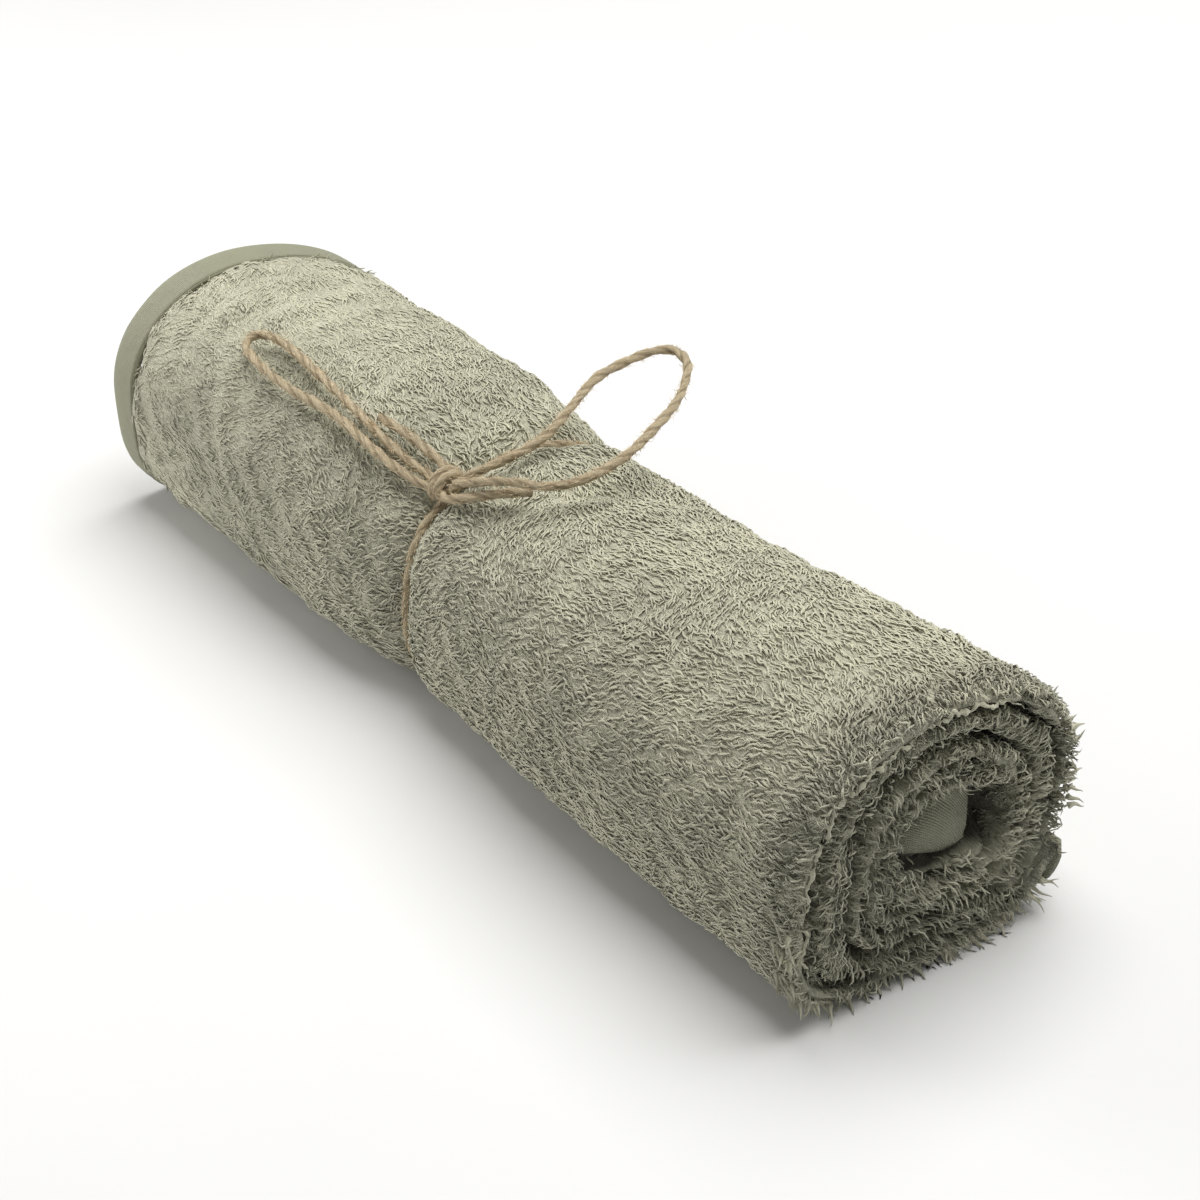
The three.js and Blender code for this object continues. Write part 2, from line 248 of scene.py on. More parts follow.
@dataclass
class Surface:
    """Points and faces of one piece, in millimetres, with named values for its finish."""

    points: Array
    faces: Array
    values: dict[str, Array]

    def merged(self, others: list["Surface"]) -> "Surface":
        """This surface and others as one, their points numbered on.

        Args:
            others: surfaces with the same values.

        Returns:
            The joined surface.
        """
        every = [self, *others]
        starts = np.cumsum([0] + [len(s.points) for s in every[:-1]])
        return Surface(
            np.vstack([s.points for s in every]),
            np.vstack([s.faces + start for s, start in zip(every, starts)]),
            {k: np.concatenate([s.values[k] for s in every]) for k in self.values},
        )

    def welded(self, grain: float = 0.002) -> "Surface":
        """The surface in triangles, with points closer than grain made one and no empty face.

        Args:
            grain: the side of the cells that points are gathered in.

        Returns:
            The closed surface.
        """
        keys = np.round(self.points / grain).astype(np.int64)
        _, first, number = np.unique(keys, axis=0, return_index=True, return_inverse=True)
        faces = number.reshape(-1)[triangles_of(self.faces)]
        whole = (faces != np.roll(faces, 1, axis=1)).all(axis=1)
        return Surface(self.points[first], faces[whole], {k: v[first] for k, v in self.values.items()})

    def normals(self) -> Array:
        """Each point's outward direction: its faces' directions added by area.

        Returns:
            Unit directions, one for each point.
        """
        faces = triangles_of(self.faces)
        a, b, c = (self.points[faces[:, k]] for k in range(3))
        crossed = np.cross(b - a, c - a)
        total = np.zeros_like(self.points)
        for k in range(3):
            for axis in range(3):
                total[:, axis] += np.bincount(faces[:, k], crossed[:, axis], len(self.points))
        return unit(total)


def copies(points: Array, pattern: Array, **values: Array) -> Surface:
    """Many small shapes with the same faces, joined in one surface.

    Args:
        points: each shape's points, three numbers each.
        pattern: one shape's faces.
        values: named values, for one shape's points or for each shape as a column.

    Returns:
        The surface.
    """
    count, each = points.shape[:2]
    faces = pattern[None] + (np.arange(count) * each)[:, None, None]
    spread = {k: np.broadcast_to(v, (count, each)).ravel() for k, v in values.items()}
    return Surface(points.reshape(-1, 3), faces.reshape(-1, 3), spread)


def make_piece(name: str, surface: Surface, material: Material) -> bpy.types.Object:
    """Writes a surface into a smooth-shaded Blender object on the one body.

    Args:
        name: the piece's name.
        surface: its points, faces and values.
        material: its finish.

    Returns:
        The object, at the origin.
    """
    mesh = bpy.data.meshes.new(name)
    faces = surface.faces
    mesh.vertices.add(len(surface.points))
    mesh.vertices.foreach_set("co", (surface.points * MILLIMETRE).astype(np.float32).ravel())
    mesh.loops.add(faces.size)
    mesh.loops.foreach_set("vertex_index", faces.astype(np.int32).ravel())
    mesh.polygons.add(len(faces))
    mesh.polygons.foreach_set("loop_start", np.arange(0, faces.size, faces.shape[1], dtype=np.int32))
    mesh.polygons.foreach_set("use_smooth", np.ones(len(faces), dtype=bool))
    mesh.update(calc_edges=True)
    mesh.validate()
    for key, values in surface.values.items():
        layer = mesh.attributes.new(key, "FLOAT", "POINT")
        layer.data.foreach_set("value", values.astype(np.float32))
    mesh.materials.append(material)
    piece = bpy.data.objects.new(name, mesh)
    bpy.context.scene.collection.objects.link(piece)
    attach(piece, BODY)
    log.info("%s: %d triangles", name, len(triangles_of(faces)))
    return piece


# Node trees


class Recipe:
    """A material's nodes, added one by one and joined by value."""

    def __init__(self, name: str) -> None:
        """Starts an empty material that holds one surface shader.

        Args:
            name: the material's name.
        """
        self.material = bpy.data.materials.new(name)
        self.material.use_nodes = True
        self.tree = self.material.node_tree
        self.shader = self.tree.nodes["Principled BSDF"]

    def join(self, value: object, socket: Socket) -> None:
        """Links a socket, or sets a number or colour, on an input."""
        if isinstance(value, Socket):
            self.tree.links.new(value, socket)
        else:
            socket.default_value = value

    def add(self, kind: str, inputs: dict, **settings: object) -> bpy.types.Node:
        """Adds a node.

        Args:
            kind: the node's Blender type.
            inputs: values or sockets by input name or number.
            settings: the node's own options.

        Returns:
            The node.
        """
        node = self.tree.nodes.new(kind)
        for key, value in settings.items():
            setattr(node, key, value)
        for key, value in inputs.items():
            self.join(value, node.inputs[key])
        return node

    def value(self, name: str) -> Socket:
        """One of the piece's own values, by name."""
        return self.add("ShaderNodeAttribute", {}, attribute_name=name).outputs["Fac"]

    def place(self) -> Socket:
        """The place on the piece, in metres."""
        return self.add("ShaderNodeTexCoord", {}).outputs["Object"]

    def sum(self, kind: str, a: object, b: object = 0.0) -> Socket:
        """One sum of two values, such as ADD or SINE."""
        return self.add("ShaderNodeMath", {0: a, 1: b}, operation=kind).outputs[0]

    def times(self, a: object, b: object) -> Socket:
        """Two values multiplied."""
        return self.sum("MULTIPLY", a, b)

    def wave(self, value: object) -> Socket:
        """The sine of a value, carried to 0 to 1."""
        return self.spread(self.sum("SINE", value), -1, 1, 0, 1)

    def noise(self, scale: float, detail: float = 2.0, rough: float = 0.5, **more: object) -> Socket:
        """Soft noise on the piece's place, or on the Vector that more gives.

        Args:
            scale: waves for each metre.
            detail: how many finer layers are added.
            rough: how strong those are.
            more: the node's other inputs.

        Returns:
            The noise, from 0 to 1.
        """
        inputs = {"Scale": scale, "Detail": detail, "Roughness": rough, **more}
        inputs.setdefault("Vector", self.place())
        return self.add("ShaderNodeTexNoise", inputs).outputs["Fac"]

    def spread(self, value: object, *ranges: float) -> Socket:
        """A value carried from one range to another, held at its ends."""
        names = ("From Min", "From Max", "To Min", "To Max")
        return self.add("ShaderNodeMapRange", {"Value": value, **dict(zip(names, ranges))}).outputs["Result"]

    def grey(self, value: object) -> Socket:
        """A value as a colour."""
        return self.add("ShaderNodeCombineColor", {0: value, 1: value, 2: value}).outputs[0]

    def mix(self, share: object, a: object, b: object, kind: str = "MIX") -> Socket:
        """Two colours mixed by a share."""
        inputs = {0: share, 6: a, 7: b}
        return self.add("ShaderNodeMix", inputs, data_type="RGBA", blend_type=kind).outputs[2]

    def bump(self, height: object, depth_mm: float, **below: object) -> Socket:
        """A relief of the given depth, over another relief where Normal gives one."""
        inputs = {"Height": height, "Strength": 1.0, "Distance": depth_mm * MILLIMETRE, **below}
        return self.add("ShaderNodeBump", inputs).outputs["Normal"]

    def dress(self, colour: object, rough: float, normal: object, sheen: float) -> Material:
        """Joins colour and relief to the shader, sets its level inputs and gives the material.

        Args:
            colour: base colour.
            rough: roughness, the same all over.
            normal: relief.
            sheen: how much the fibres' fuzz lights up at the edge.

        Returns:
            The finished material.
        """
        looks = {"Base Color": colour, "Roughness": rough, "Normal": normal}
        levels = {"Sheen Weight": sheen, "Sheen Roughness": 0.5, "Specular IOR Level": 0.25}
        for key, value in {**looks, **levels}.items():
            self.join(value, self.shader.inputs[key])
        return self.material


@dataclass(frozen=True)
class TerryFinish:
    """Sage-grey terry: light yarn tips over shaded roots, with soft patches of tone."""

    tip: tuple = (0.72, 0.703, 0.54, 1)
    body: tuple = (0.60, 0.585, 0.442, 1)
    root: tuple = (0.48, 0.47, 0.352, 1)
    # painted shade: the dark colour painted into the wound ends' grooves and onto shaded locks
    groove: tuple = (0.10, 0.095, 0.07, 1)
    patch_scale: float = 28.0
    groove_pace: float = 9.4
    twist_paces: tuple = (60.0, 16.0)
    sheen: float = 0.22

    def tone(self, recipe: Recipe, colour: object) -> Socket:
        """The colour with wide soft patches a little lighter and darker."""
        patches = recipe.spread(recipe.noise(self.patch_scale), 0.3, 0.7, 0.88, 1.1)
        return recipe.mix(1.0, colour, recipe.grey(patches), "MULTIPLY")

    def yarn(self) -> Material:
        """The pile's locks: grooves between their yarns, painted darker as shade, twist lines, painted root
        to tip shading, and each lock's painted shade.

        Returns:
            The material, on the locks' own values.
        """
        recipe = Recipe("terry_pile_yarn")
        along, across, tint, shade = (recipe.value(k) for k in ("along", "across", "tint", "shade"))
        groove = recipe.wave(recipe.times(across, self.groove_pace))
        lengthwise, sideways = self.twist_paces
        twist = recipe.sum("ADD", recipe.times(along, lengthwise), recipe.times(across, sideways))
        # painted shade: the locks go darker towards their roots
        lit = recipe.spread(along, 0.0, 0.45, 0, 1)
        # painted shade: the grooves between the yarns are darker than their crests
        crest = recipe.times(groove, recipe.spread(tint, 0, 1, 0.25, 1.0))
        colour = recipe.mix(lit, self.root, self.body)
        colour = recipe.mix(crest, colour, recipe.mix(lit, self.body, self.tip))
        # painted shade: each lock's shade value mixes it towards the dark groove colour
        colour = recipe.mix(shade, colour, self.groove)
        relief = recipe.sum("ADD", groove, recipe.times(recipe.wave(twist), 0.25))
        return recipe.dress(self.tone(recipe, colour), 0.92, recipe.bump(relief, 0.1), self.sheen)

    def ground(self) -> Material:
        """The cloth under the pile: packed loops seen in the gaps, with painted shade between their crests
        and in the wound ends' grooves.

        Returns:
            The material, on the piece's place.
        """
        recipe = Recipe("terry_ground")
        inputs = {"Vector": recipe.place(), "Scale": (1.0, 2.8, 2.8)}
        stretched = recipe.add("ShaderNodeMapping", inputs).outputs[0]
        loops = recipe.noise(480.0, 3.0, Vector=stretched, Distortion=1.0)
        # painted shade: the gaps between the loops' crests go towards the darker root colour
        colour = recipe.mix(recipe.spread(loops, 0.36, 0.62, 0, 1), self.root, self.body)
        # painted shade: the wound ends' grooves are mixed towards the dark groove colour
        colour = recipe.mix(recipe.times(recipe.value("bare"), 0.9), colour, self.groove)
        return recipe.dress(self.tone(recipe, colour), 0.95, recipe.bump(loops, 1.3), self.sheen)


@dataclass(frozen=True)
class SmoothFinish:
    """Flat-woven cotton of the binding and hems: fine ribs, crossing threads, soft wear."""

    name: str
    light: tuple = (0.37, 0.368, 0.262, 1)
    shade: tuple = (0.27, 0.267, 0.187, 1)
    rib_mm: float = 0.8
    rib_depth: float = 0.16
    slant: float = 0.0
    thread_pace: float = 1.4
    thread_share: float = 0.45
    sheen: float = 0.15

    def material(self) -> Material:
        """Ribs along the band's length crossed by threads, on the band's own lengths.

        Returns:
            The material.
        """
        recipe = Recipe(self.name)
        run, wide = recipe.value("run"), recipe.value("wide")
        pace = 6.2832 / self.rib_mm
        slanted = recipe.sum("ADD", wide, recipe.times(run, self.slant))
        thread = recipe.times(recipe.wave(recipe.times(run, pace * self.thread_pace)), self.thread_share)
        weave = recipe.sum("ADD", recipe.wave(recipe.times(slanted, pace)), thread)
        wear = recipe.spread(recipe.noise(90.0, 4.0, 0.6), 0.3, 0.7, 0, 1)
        crests = recipe.spread(weave, 0, 1 + self.thread_share, 0.25, 1)
        colour = recipe.mix(crests, self.shade, self.light)
        colour = recipe.mix(recipe.times(wear, 0.3), colour, self.shade)
        soft = recipe.bump(recipe.noise(260.0), 0.5)
        return recipe.dress(colour, 0.82, recipe.bump(weave, self.rib_depth, Normal=soft), self.sheen)


@dataclass(frozen=True)
class JuteFinish:
    """Tan jute: slanted fibres on each ply, painted shade in the groove between the plies, with reddish
    flecks.
    """

    light: tuple = (0.975, 0.835, 0.585, 1)
    mid: tuple = (0.75, 0.592, 0.365, 1)
    dark: tuple = (0.25, 0.165, 0.08, 1)
    fleck: tuple = (0.5, 0.28, 0.10, 1)
    stretch: float = 0.055
    relief_mm: float = 1.4
    sheen: float = 0.05

    def twine(self) -> Material:
        """Fibres on the ply's own lengths: stretched noise along the lay, and painted shade, darker in the
        groove.

        Returns:
            The material.
        """
        recipe = Recipe("jute_twine_plies")
        run, ply, cleft = (recipe.value(k) for k in ("run", "ply", "cleft"))
        inputs = {1: recipe.sum("SINE", ply), 2: recipe.sum("COSINE", ply)}
        inputs[0] = recipe.times(run, self.stretch)
        lay = recipe.add("ShaderNodeCombineXYZ", inputs).outputs[0]
        strands = recipe.noise(4.2, 6.0, 0.85, Vector=lay)
        colour = recipe.mix(recipe.spread(strands, 0.42, 0.58, 0, 1), self.mid, self.light)
        colour = recipe.mix(recipe.spread(strands, 0.44, 0.34, 0, 0.8), colour, self.dark)
        red = recipe.spread(recipe.noise(150.0, 3.0), 0.62, 0.74, 0, 0.6)
        # painted shade in the cleft between the plies; the cut ends are darker too
        colour = recipe.mix(cleft, recipe.mix(red, colour, self.fleck), self.dark)
        return recipe.dress(colour, 0.85, recipe.bump(strands, self.relief_mm), self.sheen)

    def fuzz(self) -> Material:
        """Loose fibre ends: pale straw, a little varied in tone.

        Returns:
            The material.
        """
        recipe = Recipe("jute_fuzz")
        share = recipe.spread(recipe.noise(900.0, 1.0), 0.35, 0.65, 0, 1)
        colour = recipe.mix(share, self.mid, self.light)
        return recipe.dress(colour, 0.85, recipe.bump(share, 0.02), self.sheen)


# The roll


@dataclass(frozen=True)
class RollForm:
    """The shape of the roll.

    It follows its solid's form. The loose end lies 7 degrees higher, the near end is up to
    near_swell fuller towards the back and the crease on top is deeper.
    """

    length: float = 370.0
    near: tuple = (53.0, 88.5, 3.8)
    far: tuple = (55.5, 87.5, 3.3)
    crown_power: float = 2.1
    flat_spot: float = 0.6
    loose_end: float = -25.0
    core: tuple = (6.0, 46.0)
    full_pitch: float = 11.0
    swells: tuple = (0.95, 46.0, 27.0)
    crease: tuple = (24.0, 16.0, 7.0, 2.2)
    waist_x: float = -12.0
    waist_depth: float = 6.0
    far_reach: float = 27.0
    near_reach: float = 62.0
    groove_depth: float = 4.4
    groove_reach: float = 5.4
    knot_around: float = 130.0
    dimple: float = 2.4
    dimple_reach: float = 9.0
    back_hollow: tuple = (64.0, 46.0, 48.0, 42.0, 5.0)
    near_swell: float = 3.2
    swell_from: tuple = (60.0, 172.0)
    swell_towards: float = 38.0

    def sizes(self, x: Array) -> tuple:
        """Half the width, half the height and the corner's power at a station.

        Args:
            x: stations along the roll.

        Returns:
            The three sizes, even steps from end to end.
        """
        along = x / self.length + 0.5
        width, height, power = ((1 - along) * f + along * n for f, n in zip(self.far, self.near))
        return width, height / 2, power

    def end_x(self, end: End, like: Array) -> Array:
        """The station of an end, once for each value of an array."""
        return np.full(np.shape(like), end.value * self.length / 2)

    def radius(self, x: Array, angle: Array) -> Array:
        """From the middle of a section to its outline, as a superellipse.

        The cosine over half the width and the sine over half the height are each raised to a
        power and added, and the sum is raised to minus one over that power. The power is lower
        above, so the roll is rounder there.

        Args:
            x: stations along the roll.
            angle: directions in the section, from +Y towards +Z.

        Returns:
            The distances.
        """
        width, height, low_power = self.sizes(x)
        power = np.where(np.sin(angle) < 0, low_power, self.crown_power)
        across = np.abs(np.cos(angle) / width) ** power
        return (across + np.abs(np.sin(angle) / height) ** power) ** (-1 / power)

    def unevenness(self, x: Array, angle: Array) -> Array:
        """The soft swellings of hand-rolled cloth, added to the radius.

        Two waves run along and round the roll and fade out below. A bell makes a crease across
        the top and another a hollow at the back, and a step makes the near end fuller.

        Args:
            x: stations along the roll.
            angle: directions in the section.

        Returns:
            How far the outline stands out.
        """
        up = np.sin(angle)
        height, long_wave, short_wave = self.swells
        long = np.sin(x / long_wave + 2 * angle) + 0.7 * np.sin(x / short_wave - 3 * angle + 1.3)
        at, lean, wide, deep = self.crease
        crease = -bell(x - at - lean * np.cos(angle), wide) * smoothstep(up, 0.5, 0.9)
        at, along, around, spread, depth = self.back_hollow
        hollow = bell(x - at, along) * bell(angle_between(angle, np.radians(around)), np.radians(spread))
        towards = smoothstep(np.cos(angle - np.radians(self.swell_towards)), 0.1, 0.95)
        swell = self.near_swell * smoothstep(x, *self.swell_from) * towards
        return smoothstep(up, -0.7, 0.1) * (height * long + deep * crease) - depth * hollow + swell

    def drawn_in(self, x: Array, angle: Array) -> Array:
        """How far the twine draws the cloth in: bells for the waist, the groove and the knot.

        Args:
            x: stations along the roll.
            angle: directions in the section.

        Returns:
            The depths below the even outline.
        """
        reach = np.where(x < self.waist_x, self.far_reach, self.near_reach)
        upper = smoothstep(np.sin(angle), -0.95, -0.35)
        waist = self.waist_depth * upper * bell(x - self.waist_x, reach)
        groove = self.groove_depth * bell(x - self.waist_x, self.groove_reach)
        aside = angle_between(angle, np.radians(self.knot_around)) * self.radius(x, angle)
        return waist + groove + self.dimple * bell(np.hypot(x - self.waist_x, aside), self.dimple_reach)

    def outline(self, x: Array, angle: Array, lift: float = 0.0) -> Array:
        """Points on the roll's outline: the radius, plus its swellings, less what the twine draws in.

        Args:
            x: stations along the roll.
            angle: directions in the section.
            lift: how far outside the outline, or inside it below 0.

        Returns:
            The points, three numbers each.
        """
        x, angle = np.broadcast_arrays(np.asarray(x, float), np.asarray(angle, float))
        radius = self.radius(x, angle) + self.unevenness(x, angle) - self.drawn_in(x, angle) + lift
        z = self.sizes(x)[1] + radius * np.sin(angle) - self.flat_spot
        return np.stack([x, radius * np.cos(angle), np.maximum(z, 0) if lift <= 0 else z], axis=-1)

    def wound(self, x: Array, around: Array, share: Array, lift: float = 0.0) -> Array:
        """Points inside the roll: share of the way from its core to its outline.

        Args:
            x: stations along the roll.
            around: degrees round from the loose end, the way it is wound.
            share: 0 at the core and 1 at the outline.
            lift: how far off the outline the outline is taken.

        Returns:
            The points, three numbers each.
        """
        rim = self.outline(x, np.radians(self.loose_end - around), lift)
        inner = np.array(self.core) + (rim[..., 1:] - self.core) * np.asarray(share)[..., None]
        return np.concatenate([rim[..., :1], inner], axis=-1)

    def reach(self, x: Array, around: Array) -> Array:
        """From the core to the outline."""
        rim = self.outline(x, np.radians(self.loose_end - around))
        return np.hypot(rim[..., 1] - self.core[0], rim[..., 2] - self.core[1])


@dataclass(frozen=True)
class Winding:
    """Where the turns lie: the groove between two of them, as a share of the way out."""

    turned: tuple = (0, 70, 160, 250, 340, 430, 520, 610, 720, 880, 1080)
    shares: tuple = (0.885, 0.76, 0.60, 0.62, 0.57, 0.50, 0.41, 0.37, 0.32, 0.25, 0.18)
    step: tuple = (305.0, 360.0)
    layer: float = 5.2
    least_pitch: float = 0.8

    def groove(self, around: Array) -> Array:
        """The groove's share after so many degrees, straight between its rows."""
        return np.interp(around, self.turned, self.shares)

    def outer(self, around: Array) -> Array:
        """The outline's own share: 1, and down to the first groove before the loose end.

        The way down is six t to the fifth less fifteen t to the fourth and ten t cubed.

        Args:
            around: degrees round from the loose end.

        Returns:
            The shares.
        """
        low, high = self.step
        t = np.clip((around - low) / (high - low), 0, 1)
        return 1 + (self.groove(np.zeros(1)) - 1) * t**3 * (t * (6 * t - 15) + 10)

    def across(self, around: Array, share: Array, reach: Array, full: float) -> tuple:
        """Where in its turn a place lies.

        Each turn runs from its outer face to the next groove. A place counts 0 to 1 across the
        edge layer, which comes first, and 1 to 2 across the fold.

        Args:
            around: degrees round from the loose end.
            share: share of the way out.
            reach: from core to outline there.
            full: the pitch of a turn that isn't squeezed.

        Returns:
            The count from 0 to 2, the turn's pitch, and the turn's number.
        """
        grooves = [self.groove(around + 360 * k) for k in range(4)]
        outers, inners = np.stack([self.outer(around)] + grooves[:3]), np.stack(grooves)
        turn = np.clip((share[None] < inners - 1e-6).sum(axis=0), 0, 3)
        outer = np.take_along_axis(outers, turn[None], 0)[0]
        inner = np.take_along_axis(inners, turn[None], 0)[0]
        pitch = np.maximum((outer - inner) * reach, self.least_pitch)
        inside = np.clip((outer - share) * reach, 0, pitch)
        layer = self.layer * np.minimum(1, pitch / full)
        count = np.where(inside < layer, inside / layer, 1 + (inside - layer) / (pitch - layer))
        return count, pitch, turn


@dataclass
class TerryCloth:
    """The towel's cloth as wound: its side, its loose end and both wound ends."""

    form: RollForm
    winding: Winding
    inset: float = 1.7
    columns: int = 168
    stations: int = 104
    rows: int = 64
    edge_rows: int = 7
    inmost: float = 0.03
    near_depths: tuple = (13.0, 5.0, 2.4, 0.9, 1.0, 14.0, 14.0, 4.2, 1.8, 2.6, 8.0, 16.0)
    far_depths: tuple = (15.5, 15.5, 15.5, 15.5, 15.0, 8.5, 4.6, 2.6, 2.2, 3.4, 6.5, 15.5)
    depth_at: tuple = (0.0, 0.2, 0.45, 0.75, 0.92, 1.04, 1.18, 1.36, 1.54, 1.7, 1.86, 2.0)
    under_band: float = 2.1
    # depths over which the grooves fade in: the pile thins there and the cloth is painted in shade
    bare_from: tuple = (4.2, 7.0)
    hollow: tuple = (20.0, 43.5, 6.2, 10.0, 32.0)
    hem_hollow: tuple = (1.5, 44.4, 15.0, 13.7, 3.6)
    hem_corner: float = 6.0
    round_off: float = 1.8
    lumps: tuple = ((0.5, 19.0, 5), (0.25, 8.0, 6))
    bunching: float = 0.035
    lowest: float = 0.35

    def shares(self) -> Array:
        """The rows' shares, from 1 down: a few across the loose end's edge, then even.

        Returns:
            The shares.
        """
        first = float(self.winding.groove(0))
        even = np.linspace(first, self.inmost, self.rows)
        return np.concatenate([np.linspace(1, first, self.edge_rows), even[1:]])

    def depth(self, end: End, points: Array, around: Array, share: Array) -> Array:
        """How far each place of a wound end lies behind the end.

        The depth follows a profile across each turn, with dark grooves between turns. Both ends
        have a hollow at the core, and the near end a bed for the smooth hem, whose lower right
        corner is squarer. The far end's outer edge reaches out under its band.

        Args:
            end: which end.
            points: places in the section, three numbers each.
            around: degrees round from the loose end.
            share: share of the way out.

        Returns:
            The depths.
        """
        near = end is End.NEAR
        reach = self.form.reach(self.form.end_x(end, around), around)
        count, pitch, _ = self.winding.across(around, share, reach, self.form.full_pitch)
        deep = np.interp(count, self.depth_at, self.near_depths if near else self.far_depths)
        deep = deep * np.clip(pitch / 7, 0.6, 1.0) if near else deep
        y, z, wide, high, far = self.hollow
        inside = np.hypot((points[..., 1] - y) / wide, (points[..., 2] - z) / high)
        in_hollow = smoothstep(-inside, -1.25, -0.75)
        deep = deep + (far - deep) * in_hollow
        out = share / np.maximum(self.winding.outer(around), 0.1)
        if near:
            y, z, wide, high, bed = self.hem_hollow
            aside, above = (points[..., 1] - y) / wide, (points[..., 2] - z) / high
            power = np.where((aside > 0) & (above < 0), self.hem_corner, 2.0)
            from_hem = (np.abs(aside) ** power + np.abs(above) ** power) ** (1 / power)
            in_bed = smoothstep(-from_hem, -1.15, -0.85) * (1 - in_hollow)
            deep = np.maximum(deep, bed + 6.0) * in_bed + deep * (1 - in_bed)
        else:
            deep = deep - self.under_band * smoothstep(out, 0.9, 0.96)
        return np.clip(deep + self.round_off * smoothstep(out, 0.965, 1.0), 0.6, None)

    def at_end(self, end: End, around: Array, share: Array) -> tuple:
        """Places in the section of an end, and how far behind the end they lie."""
        points = self.form.wound(self.form.end_x(end, share), around, share, -self.inset)
        return points, self.depth(end, points, around, share)

    def wound_end(self, end: End) -> Surface:
        """One wound end: rows of shares from the outline in, set back by depth.

        Args:
            end: which end.

        Returns:
            The end, with a value of 1 in its grooves, where the pile is thin and the cloth is painted in
            shade.
        """
        around = np.linspace(0, 360, self.columns + 1)
        share = np.minimum(self.shares()[:, None], self.winding.outer(around)[None])
        around = np.broadcast_to(around, share.shape)
        points, deep = self.at_end(end, around, share)
        points[..., 0] -= end.value * deep
        # painted shade: 1 in the deep grooves between turns, where the cloth is painted towards the dark
        # groove colour and the pile thins
        bare = smoothstep(deep, *self.bare_from) * (share < 0.94 * self.winding.outer(around))
        rows, columns = share.shape
        flat = np.vstack([points.reshape(-1, 3), points[-1].mean(axis=0)[None]])
        last = (rows - 1) * columns + np.arange(columns - 1)
        cap = np.stack([last, last + 1, np.full(columns - 1, rows * columns), last], axis=1)
        cap = cap[:, ::-1] if end is End.NEAR else cap
        faces = np.vstack([grid_faces(rows, columns, flip=end is End.NEAR), cap])
        return Surface(flat, faces, {"bare": np.append(bare.ravel(), 1.0)})

    def side(self) -> Surface:
        """The roll's side: the outline from the loose end round, then the cloth's cut edge.

        Stations are carried evenly from one end's depth to the other's, bunched by a sine.

        Returns:
            The side, open at both ends.
        """
        around = np.linspace(0, 360, self.columns + 1)
        edge = self.shares()[: self.edge_rows][::-1][1:-1]
        share = np.concatenate([self.winding.outer(around), edge])
        around = np.concatenate([around, np.zeros(len(edge))])
        half = self.form.length / 2
        first = self.at_end(End.FAR, around, share)[1] - half
        last = half - self.at_end(End.NEAR, around, share)[1]
        t = np.linspace(0, 1, self.stations)[:, None]
        ease = t - self.bunching * np.sin(2 * np.pi * t)
        x = first * (1 - ease) + last * ease
        at_x = np.where((t == 0) | (t == 1), np.sign(x) * half, x)
        wide = np.broadcast_to(share, x.shape)
        points = self.form.wound(at_x, np.broadcast_to(around, x.shape), wide, -self.inset)
        points[..., 0] = x
        faces = grid_faces(self.stations, len(share), around=True, flip=True)
        return Surface(points.reshape(-1, 3), faces, {"bare": np.zeros(x.size)})

    def surface(self) -> Surface:
        """The whole closed cloth, moved out and in by two drifts and held clear of the floor.

        Returns:
            The cloth in triangles.
        """
        whole = self.side().merged([self.wound_end(End.NEAR), self.wound_end(End.FAR)]).welded()
        normals = whole.normals()
        lumps = sum(height * drift(whole.points, wave, seed) for height, wave, seed in self.lumps)
        fade = smoothstep(whole.points[:, 2], 1.0, 9.0)
        whole.points += normals * (lumps * fade)[:, None]
        limit = self.form.length / 2 - 0.8
        whole.points[:, 0] = np.clip(whole.points[:, 0], -limit, limit)
        whole.points[:, 2] = np.maximum(whole.points[:, 2], self.lowest)
        return whole


